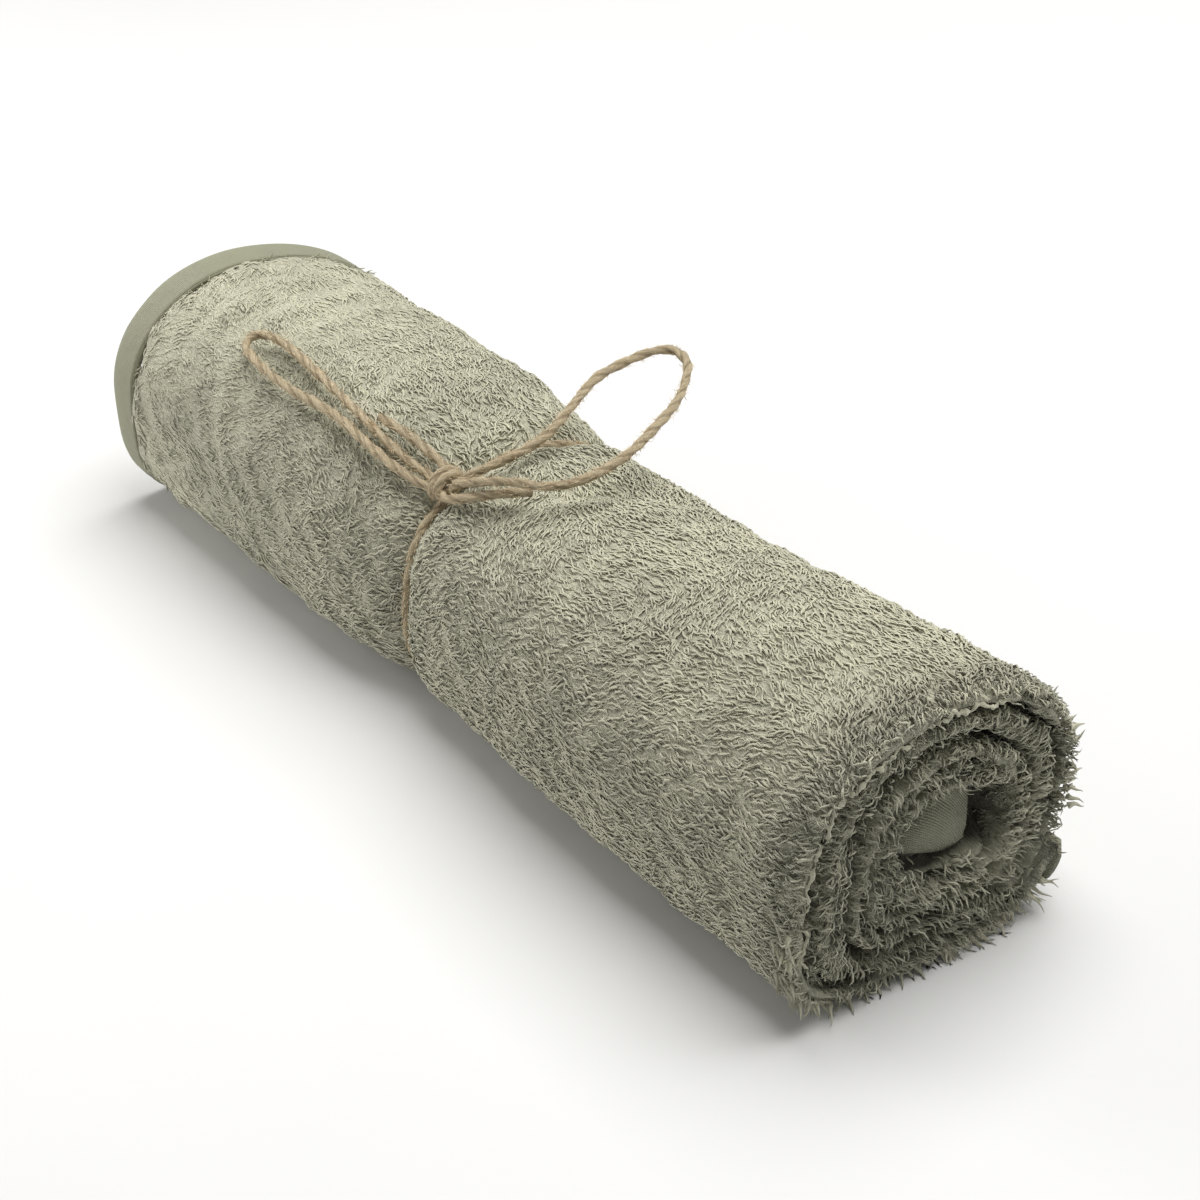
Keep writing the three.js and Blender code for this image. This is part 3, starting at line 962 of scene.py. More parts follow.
@dataclass
class TerryPile:
    """The pile: locks of two or three yarns that lean and curl over the cloth."""

    cloth: Surface
    form: RollForm
    winding: Winding
    twine: Array
    ring: Array
    smooth: Array
    locks: int = 38600
    pieces: int = 5
    rings: int = 4
    seed: int = 41
    middle: float = 43.5
    band_edge: float = -171.3
    round_hollow: tuple = (14.0, 38.0, 24.0, 19.0)
    lock_length: tuple = (3.6, 6.0)
    lock_height: tuple = (0.65, 1.3)
    lock_width: tuple = (0.52, 0.86)
    lock_thickness: float = 0.45
    lock_sway: tuple = (0.25, 0.6)
    lock_pace: tuple = (0.8, 1.35)
    root_depth: float = 0.35
    corners: tuple = (90.0, 215.0, 325.0)
    rooms: tuple = (1.3, 0.8, 1.3)
    on_side: float = 0.75
    under_hem: tuple = (-9.0, 9.5, 7.5)
    under_band: tuple = (168.0, 5.5)
    near_face: tuple = (168.0, 0.25)
    groove_at: tuple = (0.98, 1.24)
    stroke_from: tuple = (0.0, 2.0, 44.0)
    slow_wave: float = 52.0
    quick_wave: float = 12.0
    box: tuple = ((-185.8, -400.0, 0.4), (190.0, 400.0, 400.0))

    def densities(self, centres: Array, normals: Array, bare: Array) -> Array:
        """How thick the pile stands: steps multiplied, full above and in front and thin below.

        Args:
            centres: the faces' middles.
            normals: their outward directions.
            bare: 1 in grooves, where the pile thins and the cloth is painted in shade.

        Returns:
            Densities, 0 under the smooth bands and near 0 in grooves.
        """
        thick = 0.62 + 0.38 * smoothstep(-normals[:, 1] + normals[:, 2] + normals[:, 0], -0.2, 0.6)
        thick = thick * (1 - 0.72 * smoothstep(-normals[:, 2], 0.75, 0.97))
        thick = thick * (1 + 0.45 * smoothstep(centres[:, 0], 168.0, 178.0))
        thick = thick * (1 + 0.9 * smoothstep(-centres[:, 0], 163.0, 168.0))
        on_side = np.abs(normals[:, 0]) < self.on_side
        band = smoothstep(-centres[:, 0], 170.6, 171.8) * on_side
        angle = np.degrees(np.arctan2(centres[:, 2] - self.middle, centres[:, 1])) - self.form.loose_end
        at, outer, inner = self.under_hem
        under_hem = smoothstep(-np.abs(angle - at), -outer, -inner) * on_side
        back, inside = self.under_band
        under_band = (centres[:, 0] < -back) & ~on_side & (self.inwards(centres) < inside)
        return thick * (1 - band) * (1 - under_hem) * (1 - 0.96 * bare) * ~under_band

    def inwards(self, points: Array) -> Array:
        """How far inside the roll's outline each place lies, towards the section's middle.

        Args:
            points: places, three numbers each.

        Returns:
            The distances, below 0 outside it.
        """
        y, z = points[:, 1], points[:, 2] - self.middle
        rim = self.form.outline(points[:, 0], np.arctan2(z, y))
        return np.hypot(rim[:, 1], rim[:, 2] - self.middle) - np.hypot(y, z)

    def zone(self, points: Array) -> tuple:
        """Which layer or fold of a wound end a place lies in, counted inwards.

        The direction from the core is looked up in a table of the outline's directions, which
        gives how far round it is. The distance over the outline's gives its share.

        Args:
            points: places near the end, three numbers each.

        Returns:
            Two numbers for each turn, one for its layer and one for its fold, and the count.
        """
        table = np.arange(0, 360.5, 0.5)
        rim = self.form.outline(self.form.end_x(End.NEAR, table), np.radians(self.form.loose_end - table))
        y, z = self.form.core
        way = np.unwrap(np.arctan2(rim[:, 2] - z, rim[:, 1] - y))
        at = (way[0] - np.arctan2(points[:, 2] - z, points[:, 1] - y)) % (2 * np.pi)
        around = np.interp(at, way[0] - way, table)
        reach = self.form.reach(self.form.end_x(End.NEAR, at), around)
        share = np.hypot(points[:, 1] - y, points[:, 2] - z) / reach
        count, _, turn = self.winding.across(around, share, reach, self.form.full_pitch)
        return 2 * turn + (count > 1), count

    def roots(self) -> tuple:
        """Seeded places on the cloth, spread evenly by area and density.

        The faces' areas times their density are added up in order. Evenly spaced marks along that
        sum, each moved a little, pick the face, and two seeded numbers pick the place on it.

        Returns:
            Places and outward directions.
        """
        draw = np.random.default_rng(self.seed)
        faces = self.cloth.faces
        a, b, c = (self.cloth.points[faces[:, k]] for k in range(3))
        crossed = np.cross(b - a, c - a)
        area = np.linalg.norm(crossed, axis=1) / 2
        bare = self.cloth.values["bare"][faces].mean(axis=1)
        run = np.cumsum(area * self.densities((a + b + c) / 3, unit(crossed), bare))
        marks = (np.arange(self.locks) + draw.uniform(0, 1, self.locks)) * run[-1] / self.locks
        face = np.minimum(np.searchsorted(run, marks), len(area) - 1)
        u, v = draw.uniform(0, 1, self.locks), draw.uniform(0, 1, self.locks)
        over = u + v > 1
        u, v = np.where(over, 1 - u, u)[:, None], np.where(over, 1 - v, v)[:, None]
        places = a[face] + u * (b - a)[face] + v * (c - a)[face]
        corner = self.cloth.normals()[faces[face]]
        return places, unit((1 - u - v) * corner[:, 0] + u * corner[:, 1] + v * corner[:, 2])

    def lean(self, places: Array, outward: Array, draw: np.random.Generator) -> Array:
        """Which way each lock lies: a stroked direction, turned by slow and quick drifts.

        On the crown the pile is stroked along the roll and a little forward, on the front along
        the roll and up, beside the far band along its edge, and on the wound ends outwards and
        down. It is then flattened onto the surface.

        Args:
            places: the locks' roots.
            outward: the surface's directions.
            draw: the seeded source of small turns.

        Returns:
            Unit directions along the surface.
        """
        crown, front = np.clip(outward[:, 2], 0, 1), np.clip(-outward[:, 1], 0, 1)
        stroke = np.stack([np.full(len(places), 0.95), -0.35 * crown, 0.3 * front], axis=1)
        from_core = unit((places - np.array(self.stroke_from)) * [0, 1, 1])
        ends = smoothstep(np.abs(outward[:, 0]), 0.35, 0.8)[:, None]
        onward = np.cross([1.0, 0, 0], from_core)
        out_and_down = from_core * 0.95 + onward * 0.3 + np.array([0.1, 0, -0.25])
        stroke = stroke * (1 - ends) + out_and_down * ends
        stroke[:, 0] *= 1 - 0.95 * smoothstep(-places[:, 0], 164.0, 169.0) * (1 - ends[:, 0])
        slow = np.stack([drift(places, self.slow_wave, 11 + k) for k in range(3)], axis=1)
        quick = np.stack([drift(places, self.quick_wave, 21 + k) for k in range(3)], axis=1)
        loose = draw.normal(size=places.shape)
        field = stroke + 0.3 * slow + (0.26 + 0.14 * ends) * quick + (0.16 + 0.1 * ends) * loose
        return unit(field - (field * outward).sum(axis=1, keepdims=True) * outward)

    def strands(self) -> tuple:
        """The locks' middle lines and their sizes.

        A lock rises from its root, leans over and dips or ends free: its way along grows with t,
        its height is a half sine, and its way aside is a slow wave. Locks stand higher on the
        near end and lower on the far half, underneath and beside the band.

        Returns:
            Points in rings, widths, thicknesses, outward directions and each lock's tint.
        """
        places, outward = self.roots()
        draw = np.random.default_rng(self.seed + 1)
        lean = self.lean(places, outward, draw)
        count, x = len(places), places[:, 0]
        end = smoothstep(x, 165.0, 176.0) + 0.3 * smoothstep(-x, 165.0, 176.0)
        low = smoothstep(-outward[:, 2], -0.35, 0.3) * (1 - end)
        near_back = smoothstep(x, 90.0, 172.0) * smoothstep(outward[:, 1], 0.1, 0.7)
        by_band = smoothstep(-x, 160.0, 169.0) * (1 - end)
        length = (draw.uniform(*self.lock_length, count) * (1 + 0.1 * end + 0.2 * low))[:, None]
        height = draw.uniform(*self.lock_height, count) * (1 + 1.1 * end + 1.1 * near_back)
        height = height * (1 - 0.4 * by_band) * (1 - 0.4 * smoothstep(-x, 10.0, 140.0))
        height = (height * (1 - 0.6 * smoothstep(-outward[:, 2], 0.7, 0.95)))[:, None]
        free = (draw.uniform(0, 1, count) < 0.35 + 0.35 * end)[:, None]
        wave = draw.uniform(*self.lock_sway, count)[:, None]
        phase = (0.5 * drift(places, 9.0, 31) + draw.uniform(-0.12, 0.12, count))[:, None]
        pace = draw.uniform(*self.lock_pace, count)[:, None]
        t = np.linspace(0, 1, self.rings + 1)[None, :]
        arch = np.sin(np.pi * (0.06 + 0.9 * t)) * height
        tip = height * (1 - (1 - t) ** 2.2) * (1 - 0.25 * t**2)
        rise = np.where(free, tip, arch) - self.root_depth
        on = length * t * np.where(free, 0.8, 1.0)
        sway = wave * (np.sin(2 * np.pi * (pace * t + phase)) - np.sin(2 * np.pi * phase))
        line = places[:, None] + outward[:, None] * rise[..., None] + lean[:, None] * on[..., None]
        line = line + np.cross(outward, lean)[:, None] * sway[..., None]
        slim = np.where(free, 1 - 0.5 * t, 1.0)
        width = draw.uniform(*self.lock_width, count)[:, None] * (1 - 0.5 * np.abs(2 * t - 0.9) ** 3) * slim
        return line, width, self.lock_thickness * slim, outward, draw.uniform(0, 1, count)

    def crosses(self, line: Array, outward: Array) -> tuple:
        """Which locks of the near end would bridge a groove, and how shaded the others stand.

        A lock bridges a groove where its two ends lie in two zones. Its shade is a bell of its
        root's distance from the groove inside the layer, or from one between two turns, and grows
        where the side rounds over. Round the hollow at the core the pile hangs over freely.

        Args:
            line: the locks' middle lines.
            outward: the surface's directions.

        Returns:
            Whether each lock bridges a groove, and its shade from 0 to 1.
        """
        x, y, z = line[:, 0].T
        face = (x > self.near_face[0]) & (outward[:, 0] > self.near_face[1])
        first, root = self.zone(line[:, 0])
        last, count = self.zone(line[:, -1])
        in_groove = (count > self.groove_at[0]) & (count < self.groove_at[1])
        inner = 0.65 * bell(np.maximum(np.abs(root - 1.16) - 0.1, 0), 0.14) * (root > 0.95)
        between = 0.6 * bell(2.0 - root, 0.22) + 0.6 * bell(root, 0.3) * (first > 1)
        rounding = 0.4 * smoothstep(x, 158.0, 181.0) * ~face
        at_y, at_z, wide, high = self.round_hollow
        apart = np.hypot((y - at_y) / wide, (z - at_z) / high) > 1
        bridging = face & apart & ((first != last) | in_groove)
        return bridging, face * np.clip(apart * (inner + between), 0, 0.85) + rounding

    def clear(self, line: Array) -> Array:
        """Which locks keep clear of the twine, the smooth bands and the floor.

        Args:
            line: the locks' middle lines.

        Returns:
            Whether each lock stays.
        """
        free = line[..., 2].min(axis=1) > FLOOR
        for way, room in zip((self.twine, self.ring, self.smooth), self.rooms):
            low, high = way.min(axis=0) - 4, way.max(axis=0) + 4
            index = np.flatnonzero(np.all((line[:, 2] > low) & (line[:, 2] < high), axis=1) & free)
            for part in np.array_split(index, max(1, len(index) // LOCKS_AT_ONCE)):
                spots = line[part].reshape(-1, 1, 3)
                gap = np.sqrt(((spots - way[None]) ** 2).sum(axis=-1)).min(axis=1)
                free[part] &= gap.reshape(len(part), -1).min(axis=1) > room
        return free

    def surfaces(self) -> list[Surface]:
        """The locks as slim three-sided spikes with closed ends, in a few joined pieces.

        Returns:
            The pieces, with each yarn's own values.
        """
        line, width, thick, outward, tint = self.strands()
        bridging, shade = self.crosses(line, outward)
        far_out = (np.abs(outward[:, 0]) < self.on_side) | (self.inwards(line[:, -1]) < 4.0)
        over_band = far_out & (line[..., 0].min(axis=1) < self.band_edge)
        keep = self.clear(line) & ~bridging & ~over_band
        every = (line, width, thick, outward, tint, shade)
        line, width, thick, outward, tint, shade = (v[keep] for v in every)
        line = np.clip(line, *self.box)
        side, up = across_lines(line, outward[:, None])
        corner = np.radians(self.corners)
        a, b = 0.6 * width[..., None] * np.cos(corner), 0.5 * thick[..., None] * np.sin(corner)
        body = carried(line, side, up, a, b)[:, : self.rings].reshape(len(line), -1, 3)
        points = np.concatenate([body, line[:, -1:]], axis=1)
        points[..., 2] = np.maximum(points[..., 2], FLOOR)
        along = np.append(np.repeat(np.arange(self.rings) / self.rings, 3), 1.0)
        across = np.append(np.tile([0.5, 0.0, 1.0], self.rings), 0.5)
        pattern = spike_faces(self.rings)
        return [
            copies(points[part], pattern, along=along, across=across,
                   tint=tint[part][:, None], shade=shade[part][:, None])
            for part in np.array_split(np.arange(len(line)), self.pieces)
        ]


@dataclass
class NearRim:
    """The open end's rim: the knobbly edge of its outer layer and the twisted tufts round it."""

    form: RollForm
    winding: Winding
    edge_from: float = 118.0
    edge_to: float = 292.0
    edge_in: float = 6.3
    edge_radius: float = 0.5
    edge_step: float = 0.7
    edge_sides: int = 9
    knobs_at: float = 235.0
    knobs_reach: float = 38.0
    knob_size: float = 0.5
    wander: float = 0.7
    wanders: tuple = (
        (0.7, 9.0, 51, 0.35, 3.0, 52), (0.0, 11.0, 53, 0.3, 2.8, 55), (0.0, 12.0, 54, 0.3, 2.6, 56),
    )
    tufts: int = 230
    rings: int = 7
    sides: int = 6
    seed: int = 57
    fronts: tuple = (-172, -32)
    backs: tuple = (-12, 62)
    tuft_x: tuple = (175.0, 183.5)
    tuft_root: tuple = (2.2, 3.4)
    tuft_length: tuple = (4.2, 7.4)
    tuft_radius: tuple = (0.75, 1.15)
    forward_lean: tuple = (0.0, 0.75)

    def edge(self) -> Surface:
        """A thin knobbly line along the outer layer's inner side.

        A circle is carried along the turn. Its radius and its middle wander with seeded drifts,
        more so near the top, where the loops stand in small knobs.

        Returns:
            The closed tube, with the yarn's own values.
        """
        length = self.form.reach(np.full(361, 185.0), np.arange(361.0)).sum() * np.pi / 180
        count = int(length * (self.edge_to - self.edge_from) / 360 / self.edge_step)
        around = np.linspace(self.edge_from, self.edge_to, count)
        x = self.form.end_x(End.NEAR, around)
        share = self.winding.outer(around) - self.edge_in / self.form.reach(x, around)
        line = self.form.wound(x, around, share)
        top = bell(np.abs(around - self.knobs_at), self.knobs_reach)
        for axis, (back, slow, seed, least, quick, quick_seed) in enumerate(self.wanders):
            knobs = (least + self.knob_size * top) * drift(line, quick, quick_seed)
            line[:, axis] += self.wander * drift(line, slow, seed) + knobs - back
        side, up = across_lines(line, [1.0, 0.0, 0.0])
        turn = circle(self.edge_sides)
        taper = smoothstep(np.minimum(around - self.edge_from, self.edge_to - around), -4.0, 30.0)
        thick = self.edge_radius * (taper * (1 + 0.3 * top) * (1 + 0.6 * drift(line, 1.9, 58)))[:, None]
        points = carried(line, side, up, thick * np.cos(turn), thick * np.sin(turn))
        flat = np.vstack([points.reshape(-1, 3), line[:1], line[-1:]])
        values = {k: np.full(len(flat), v) for k, v in (("along", 0.4), ("tint", 0.4), ("shade", 0.08))}
        values["across"] = np.resize(turn / 2, len(flat))
        return Surface(flat, tube_faces(count, self.edge_sides, flip=True), values)

    def fringe(self) -> Surface:
        """Twisted tufts of pile that stand out round the lower and back part of the rim.

        Each is a cone whose middle line leaves its root outwards, bends aside by the square of t
        and wavers a little, and whose radius falls from the root to a point.

        Returns:
            The tufts as one surface, with the yarn's own values.
        """
        draw = np.random.default_rng(self.seed)
        n, behind = self.tufts, self.tufts // 5
        spread = [draw.uniform(*self.fronts, n - behind), draw.uniform(*self.backs, behind)]
        angle = np.radians(np.concatenate(spread))
        x = draw.uniform(*self.tuft_x, n)
        out = outwards(angle)
        along = np.stack([np.zeros(n), -np.sin(angle), np.cos(angle)], axis=-1)
        root = self.form.outline(np.full(n, 183.0), angle) - out * draw.uniform(*self.tuft_root, n)[:, None]
        root[:, 0] = x
        size = draw.uniform(*self.tuft_length, n) * (1 - 0.3 * (angle > -0.3))
        forward = draw.uniform(*self.forward_lean, n) + 1.0 * (angle < np.radians(-40))
        way = unit(out + np.array([1.0, 0, 0]) * forward[:, None] + along * draw.normal(0, 0.25, n)[:, None])
        bend = along * draw.normal(0, 1.5, n)[:, None] + np.array([0, 0, -0.6]) + draw.normal(0, 0.6, (n, 3))
        t = np.linspace(0, 1, self.rings)[None, :, None]
        line = root[:, None] + way[:, None] * size[:, None, None] * t + bend[:, None] * t**2
        sway = draw.uniform(0, 6.28, (n, 1, 1))
        line = line + along[:, None] * 0.3 * (np.sin(7 * t + sway) - np.sin(sway))
        side, up = across_lines(line, [1.0, 0.2, 0.1])
        turn = circle(self.sides)
        radius = draw.uniform(*self.tuft_radius, n)[:, None, None] * (1.0 - 0.93 * t**0.8)
        points = carried(line, side, up, radius * np.cos(turn), radius * np.sin(turn)).reshape(n, -1, 3)
        points[..., 2] = np.maximum(points[..., 2], FLOOR)
        k = np.arange(1, self.sides - 1)
        root_cap = np.stack([0 * k, k, k + 1], axis=1)
        tip_cap = root_cap[:, [0, 2, 1]] + (self.rings - 1) * self.sides
        wall = triangles_of(grid_faces(self.rings, self.sides, around=True, flip=True))
        return copies(
            points,
            np.vstack([wall, root_cap, tip_cap]),
            along=np.repeat(np.linspace(0.3, 1, self.rings), self.sides),
            across=np.tile(turn / 2, self.rings),
            tint=draw.uniform(0, 1, n)[:, None],
            shade=np.array(0.12),
        )


def strip_faces(rows: int, columns: int, pairs: int, flip: bool) -> Array:
    """A flat tube's wall, and at each end quads between its section's two sides.

    Args:
        rows: how many sections.
        columns: how many points in a section.
        pairs: how many quads close an end.
        flip: whether the faces are turned over.

    Returns:
        Point numbers, four for each face.
    """
    low, high = np.arange(pairs), columns - 1 - np.arange(pairs)
    caps = np.stack([low, low + 1, high - 1, high], axis=1)
    last = caps + (rows - 1) * columns
    wall = grid_faces(rows, columns, around=True, flip=flip)
    return np.vstack([wall, caps, last[:, ::-1]] if flip else [wall, caps[:, ::-1], last])


@dataclass
class EdgeBinding:
    """The smooth binding at the far end, wound in with the cloth."""

    form: RollForm
    winding: Winding
    clearance: float = 0.8
    turns: float = 2.5
    columns: int = 130
    recess: float = 15.0
    behind: float = 0.15
    rumple: tuple = (0.35, 21.0, 61)
    rumple_limits: tuple = (-0.1, 0.9)
    backs: tuple = (13.8, 12.6, 11.0, 8.0, 5.0, 2.4, 0.7, 0.05, 0.0, 0.7, 2.4, 5.0, 11.0, 13.8)
    deeps: tuple = (0.5, 0.12, 0.28, 0.0, 0.05, 0.12, 0.5, 1.2, 1.8, 2.5, 2.9, 2.9, 2.9, 2.9)

    def surface(self) -> Surface:
        """The strip's section carried round the winding.

        At each column the section's points lie so far back from the end, and so far in from the
        turn's outer face, squeezed where the turn is narrower. A slow drift rumples the edge.

        Returns:
            The closed strip, with its own lengths for the weave.
        """
        step = np.arange(int(self.turns * self.columns) + 1) * 360 / self.columns
        around = step % 360
        far = -self.form.length / 2
        reach = self.form.reach(np.full(len(step), far + self.recess), around)
        outer = np.where(step < 360, self.winding.outer(around), self.winding.groove(step - 360))
        pitch = (outer - self.winding.groove(step)) * reach
        squeeze = np.minimum(1, pitch / self.form.full_pitch)[:, None]
        backs, deeps = np.array(self.backs)[None], np.array(self.deeps)[None]
        shares = outer[:, None] - (self.clearance + deeps) * squeeze / reach[:, None]
        across = np.broadcast_to(around[:, None], shares.shape)
        points = self.form.wound(np.full(shares.shape, far + self.recess), across, shares)
        points[..., 0] = far + self.behind + backs
        height, wave, seed = self.rumple
        rumple = height * drift(points, wave, seed) * (1 - backs / 16)
        points[..., 0] += np.clip(rumple, *self.rumple_limits)
        rows, columns = shares.shape
        values = {
            "run": np.repeat(lengths_along(points.mean(axis=1)), columns),
            "wide": np.broadcast_to(backs + deeps * 0.6, shares.shape).ravel(),
        }
        return Surface(points.reshape(-1, 3), strip_faces(rows, columns, 6, flip=True), values)


@dataclass
class SmoothHems:
    """The cloth's own narrow hems: one shows at the near end's core, one on the loose end."""

    form: RollForm
    rows: int = 22
    columns: int = 30
    tops: tuple = ((0.0, 0.3, 0.5, 0.72, 1.0), (49.0, 52.4, 55.0, 56.0, 53.6))
    turned: tuple = ((-1.1, 0.9, 0.0), (-3.4, 0.1, 0.0), (-12.0, -2.0, 0.0))
    turned_run: tuple = (31.2, 33.4, 42.0)
    strip: tuple = (-169.5, 184.2)
    stations: int = 140
    round_mm: tuple = (12.6, 13.4, 12.9, 9.0, 4.5, 0.8, -0.5, -0.6, 0.1, 3.0, 8.0, 12.6)
    lifts: tuple = (-1.4, -0.7, 0.0, 0.5, 0.55, 0.4, -0.2, -1.9, -3.0, -3.3, -3.0, -2.2)
    end_round: float = 2.6

    def core_patch(self) -> Surface:
        """The hem in the core: a bulging sheet with a straight turned edge on its right.

        Two numbers run across and up it. Its outline is lerped between four curved sides, its
        middle stands forward by a product of two half sines, and its right edge is turned back.

        Returns:
            The sheet, front side out.
        """
        u = np.linspace(-0.06, 1.0, self.columns)[None, :]
        v = np.linspace(0, 1, self.rows)[:, None]
        uc = np.clip(u, 0, 1)
        left, right = -13.0 + 6.0 * (v - 0.35) ** 2, 15.8 + 0.5 * np.sin(np.pi * v)
        bottom, top = 30.6 + 10.0 * (1 - uc) ** 1.2, np.interp(uc, *self.tops)
        bulge = np.sin(np.pi * np.clip(0.12 + 0.85 * uc, 0, 1)) ** 0.8
        bulge = bulge * np.sin(np.pi * (0.08 + 0.84 * v)) ** 0.7
        x = 176.6 + 4.6 * bulge + 1.6 * uc - 2.2 * smoothstep(-v, -0.22, 0.0)
        x = x - 0.5 * bell((v - 0.26) * 21, 1.1) - 0.4 * bell((v - 0.14) * 21, 0.9)
        across = left + (right - left) * uc
        front = np.stack(np.broadcast_arrays(x, across, bottom + (top - bottom) * v), axis=-1)
        points = np.concatenate([front, front[:, -1:] + np.array(self.turned)], axis=1)
        run = np.broadcast_to(np.concatenate([u[0] * 30, self.turned_run]), points.shape[:2])
        values = {"run": run.ravel(), "wide": np.broadcast_to(v * 22, points.shape[:2]).ravel()}
        return Surface(points.reshape(-1, 3), grid_faces(*points.shape[:2]), values)

    def loose_strip(self) -> Surface:
        """The hem along the loose end: a flat rounded strip on the outline beside its step.

        Its section is carried along the roll. Each of its points lies so far round from the loose
        end, as an arc over the local reach, and so far outside the cloth. Near both ends the
        section shrinks towards its middle as a quarter circle, so the ends are round.

        Returns:
            The closed strip.
        """
        x = np.linspace(*self.strip, self.stations)
        arcs = np.array(self.round_mm)[None]
        around = np.degrees(arcs / self.form.reach(x, np.zeros(len(x)))[:, None])
        angle = np.radians(self.form.loose_end - around)
        points = self.form.outline(np.broadcast_to(x[:, None], angle.shape), angle)
        wave = 0.35 * drift(points, 34.0, 71)
        points = points + outwards(angle) * (np.array(self.lifts) + wave)[..., None]
        left = np.minimum(x - x[0], x[-1] - x) / self.end_round
        slim = np.sqrt(1 - (1 - np.clip(left, 0.15, 1)) ** 2)[:, None, None]
        middle = points.mean(axis=1, keepdims=True)
        points = middle + (points - middle) * slim
        points[..., 2] = np.maximum(points[..., 2], 0.5)
        rows, columns = angle.shape
        values = {"run": np.repeat(x, columns), "wide": np.broadcast_to(arcs, angle.shape).ravel()}
        faces = strip_faces(rows, columns, columns // 2 - 1, flip=False)
        return Surface(points.reshape(-1, 3), faces, values)


# The twine


@dataclass
class JuteBow:
    """One length of two-ply jute: a ring round the waist, a knot, two loops and two ends."""

    form: RollForm
    diameter: float = 3.2
    ring_lift: tuple = (-0.5, -0.3)
    ring_gap: float = 6.1
    ring_places: int = 44
    ring_width: float = 1.2
    knot_lift: float = 5.2
    knot_reach: float = 9.0
    spacing: float = 0.85
    easing: int = 14
    sides: int = 14
    lay: float = 19.0
    ply_offset: float = 0.32
    ply_radius: float = 1.24
    roughness: tuple = (0.06, 3.2, 81)
    swelling: tuple = (0.09, 9.0, 23.0)
    frayed: tuple = (0.16, 1.6)
    hairs: int = 3400
    hair_seed: int = 91
    hair_length: tuple = (0.9, 2.8)
    hair_radius: tuple = (0.055, 0.12)
    hair_root: float = 1.2

    LEFT_LOOP = (
        (-17, -27.4, 74.6), (-26, -30, 77.1), (-39, -31.2, 80.3), (-52, -31, 82.5), (-68, -29.8, 83.8),
        (-85, -28.4, 84.8), (-101, -27.4, 85.6), (-113, -27.8, 85.8), (-120, -30.6, 84.9),
        (-120.4, -34.2, 83.3), (-113, -36.8, 81.9), (-101, -37.6, 80.9), (-86, -37.4, 80.3),
        (-72, -36, 80.5), (-60, -35.2, 80.3), (-46, -35.8, 79.3), (-33, -35.2, 77.3),
        (-24, -33.8, 75.5), (-16.6, -31, 73.4),
    )
    RIGHT_LOOP = (
        (-7.5, -24.5, 77), (-3.5, -19.5, 80.8), (0.2, -11.3, 84), (0.4, 1.5, 87), (-9.5, 20.5, 88.8),
        (-19.3, 37.4, 89.5), (-21.6, 51.5, 90.2), (-22.6, 61.8, 90), (-20.5, 68, 90), (-11, 67, 90),
        (-2, 60, 90), (9.8, 47, 90), (20, 30, 90), (28.5, 13.5, 90), (32, -1, 89.5), (32, -11, 89.4),
        (28, -17.5, 88.8), (20, -21, 87.8), (11, -24.5, 85.4), (2, -27, 81.6), (-5.8, -28, 77.4),
    )
    LEFT_TAIL = ((-15.8, -23, 77), (-24, -24.6, 80.2), (-33, -26, 82.6), (-46, -28, 84))
    RIGHT_TAIL = ((-7, -30.8, 73.6), (-1, -31, 75.8), (7, -27, 79.2), (14, -21.4, 81.6), (20, -16.6, 83))
    INTO_RING = ((-2.6, 1.6, -0.6), (-0.8, 3.4, -2.2))
    OUT_OF_WRAP = ((3.0, 2.2, -0.6), (5.2, 0.4, 0.9))
    THROUGH_LOW = ((2.4, 3.0, 1.5), (-2.4, 3.0, 1.5))
    THROUGH_HIGH = ((2.2, -2.4, 0.5), (-1.6, -2.6, 0.2))

    def ring(self) -> Array:
        """The ring: places round the waist, each lifted off the outline along its direction.

        Returns:
            The places, sunk deepest in front and higher towards the knot.
        """
        at = np.radians(self.form.knot_around)
        gap = self.ring_gap / float(self.form.radius(np.array(self.form.waist_x), np.array(at)))
        angle = np.linspace(at + gap, at + 2 * np.pi - gap, self.ring_places)
        low, high = self.ring_lift
        front = smoothstep(-np.cos(angle), -0.2, 0.5)
        lift = low + (high - low) * front - front * smoothstep(np.degrees(angle), 145.0, 180.0)
        points = self.form.outline(np.full(len(angle), self.form.waist_x), angle)
        points = points + outwards(angle) * lift[:, None]
        points[:, 2] = np.maximum(points[:, 2], self.diameter / 2 + 0.15)
        return points

    def knot_centre(self) -> Array:
        """The middle of the knot, over the outline at its direction."""
        at = np.array([np.radians(self.form.knot_around)])
        return self.form.outline(np.array([self.form.waist_x]), at, self.knot_lift)[0]

    def in_ring(self, line: Array) -> Array:
        """Which of the twine's places lie in the ring and not at the knot."""
        off_knot = np.linalg.norm(line - self.knot_centre(), axis=1) > self.knot_reach
        return (np.abs(line[:, 0] - self.form.waist_x) < self.ring_width) & off_knot

    def local(self, points: object) -> Array:
        """Points given along the roll, down the front and outwards from the knot's middle.

        Args:
            points: three numbers each.

        Returns:
            The points in the frame.
        """
        at = np.radians(self.form.knot_around)
        axes = np.array([[1.0, 0, 0], [0, -np.sin(at), np.cos(at)], [0, np.cos(at), np.sin(at)]])
        return self.knot_centre() + np.array(points, float) @ axes

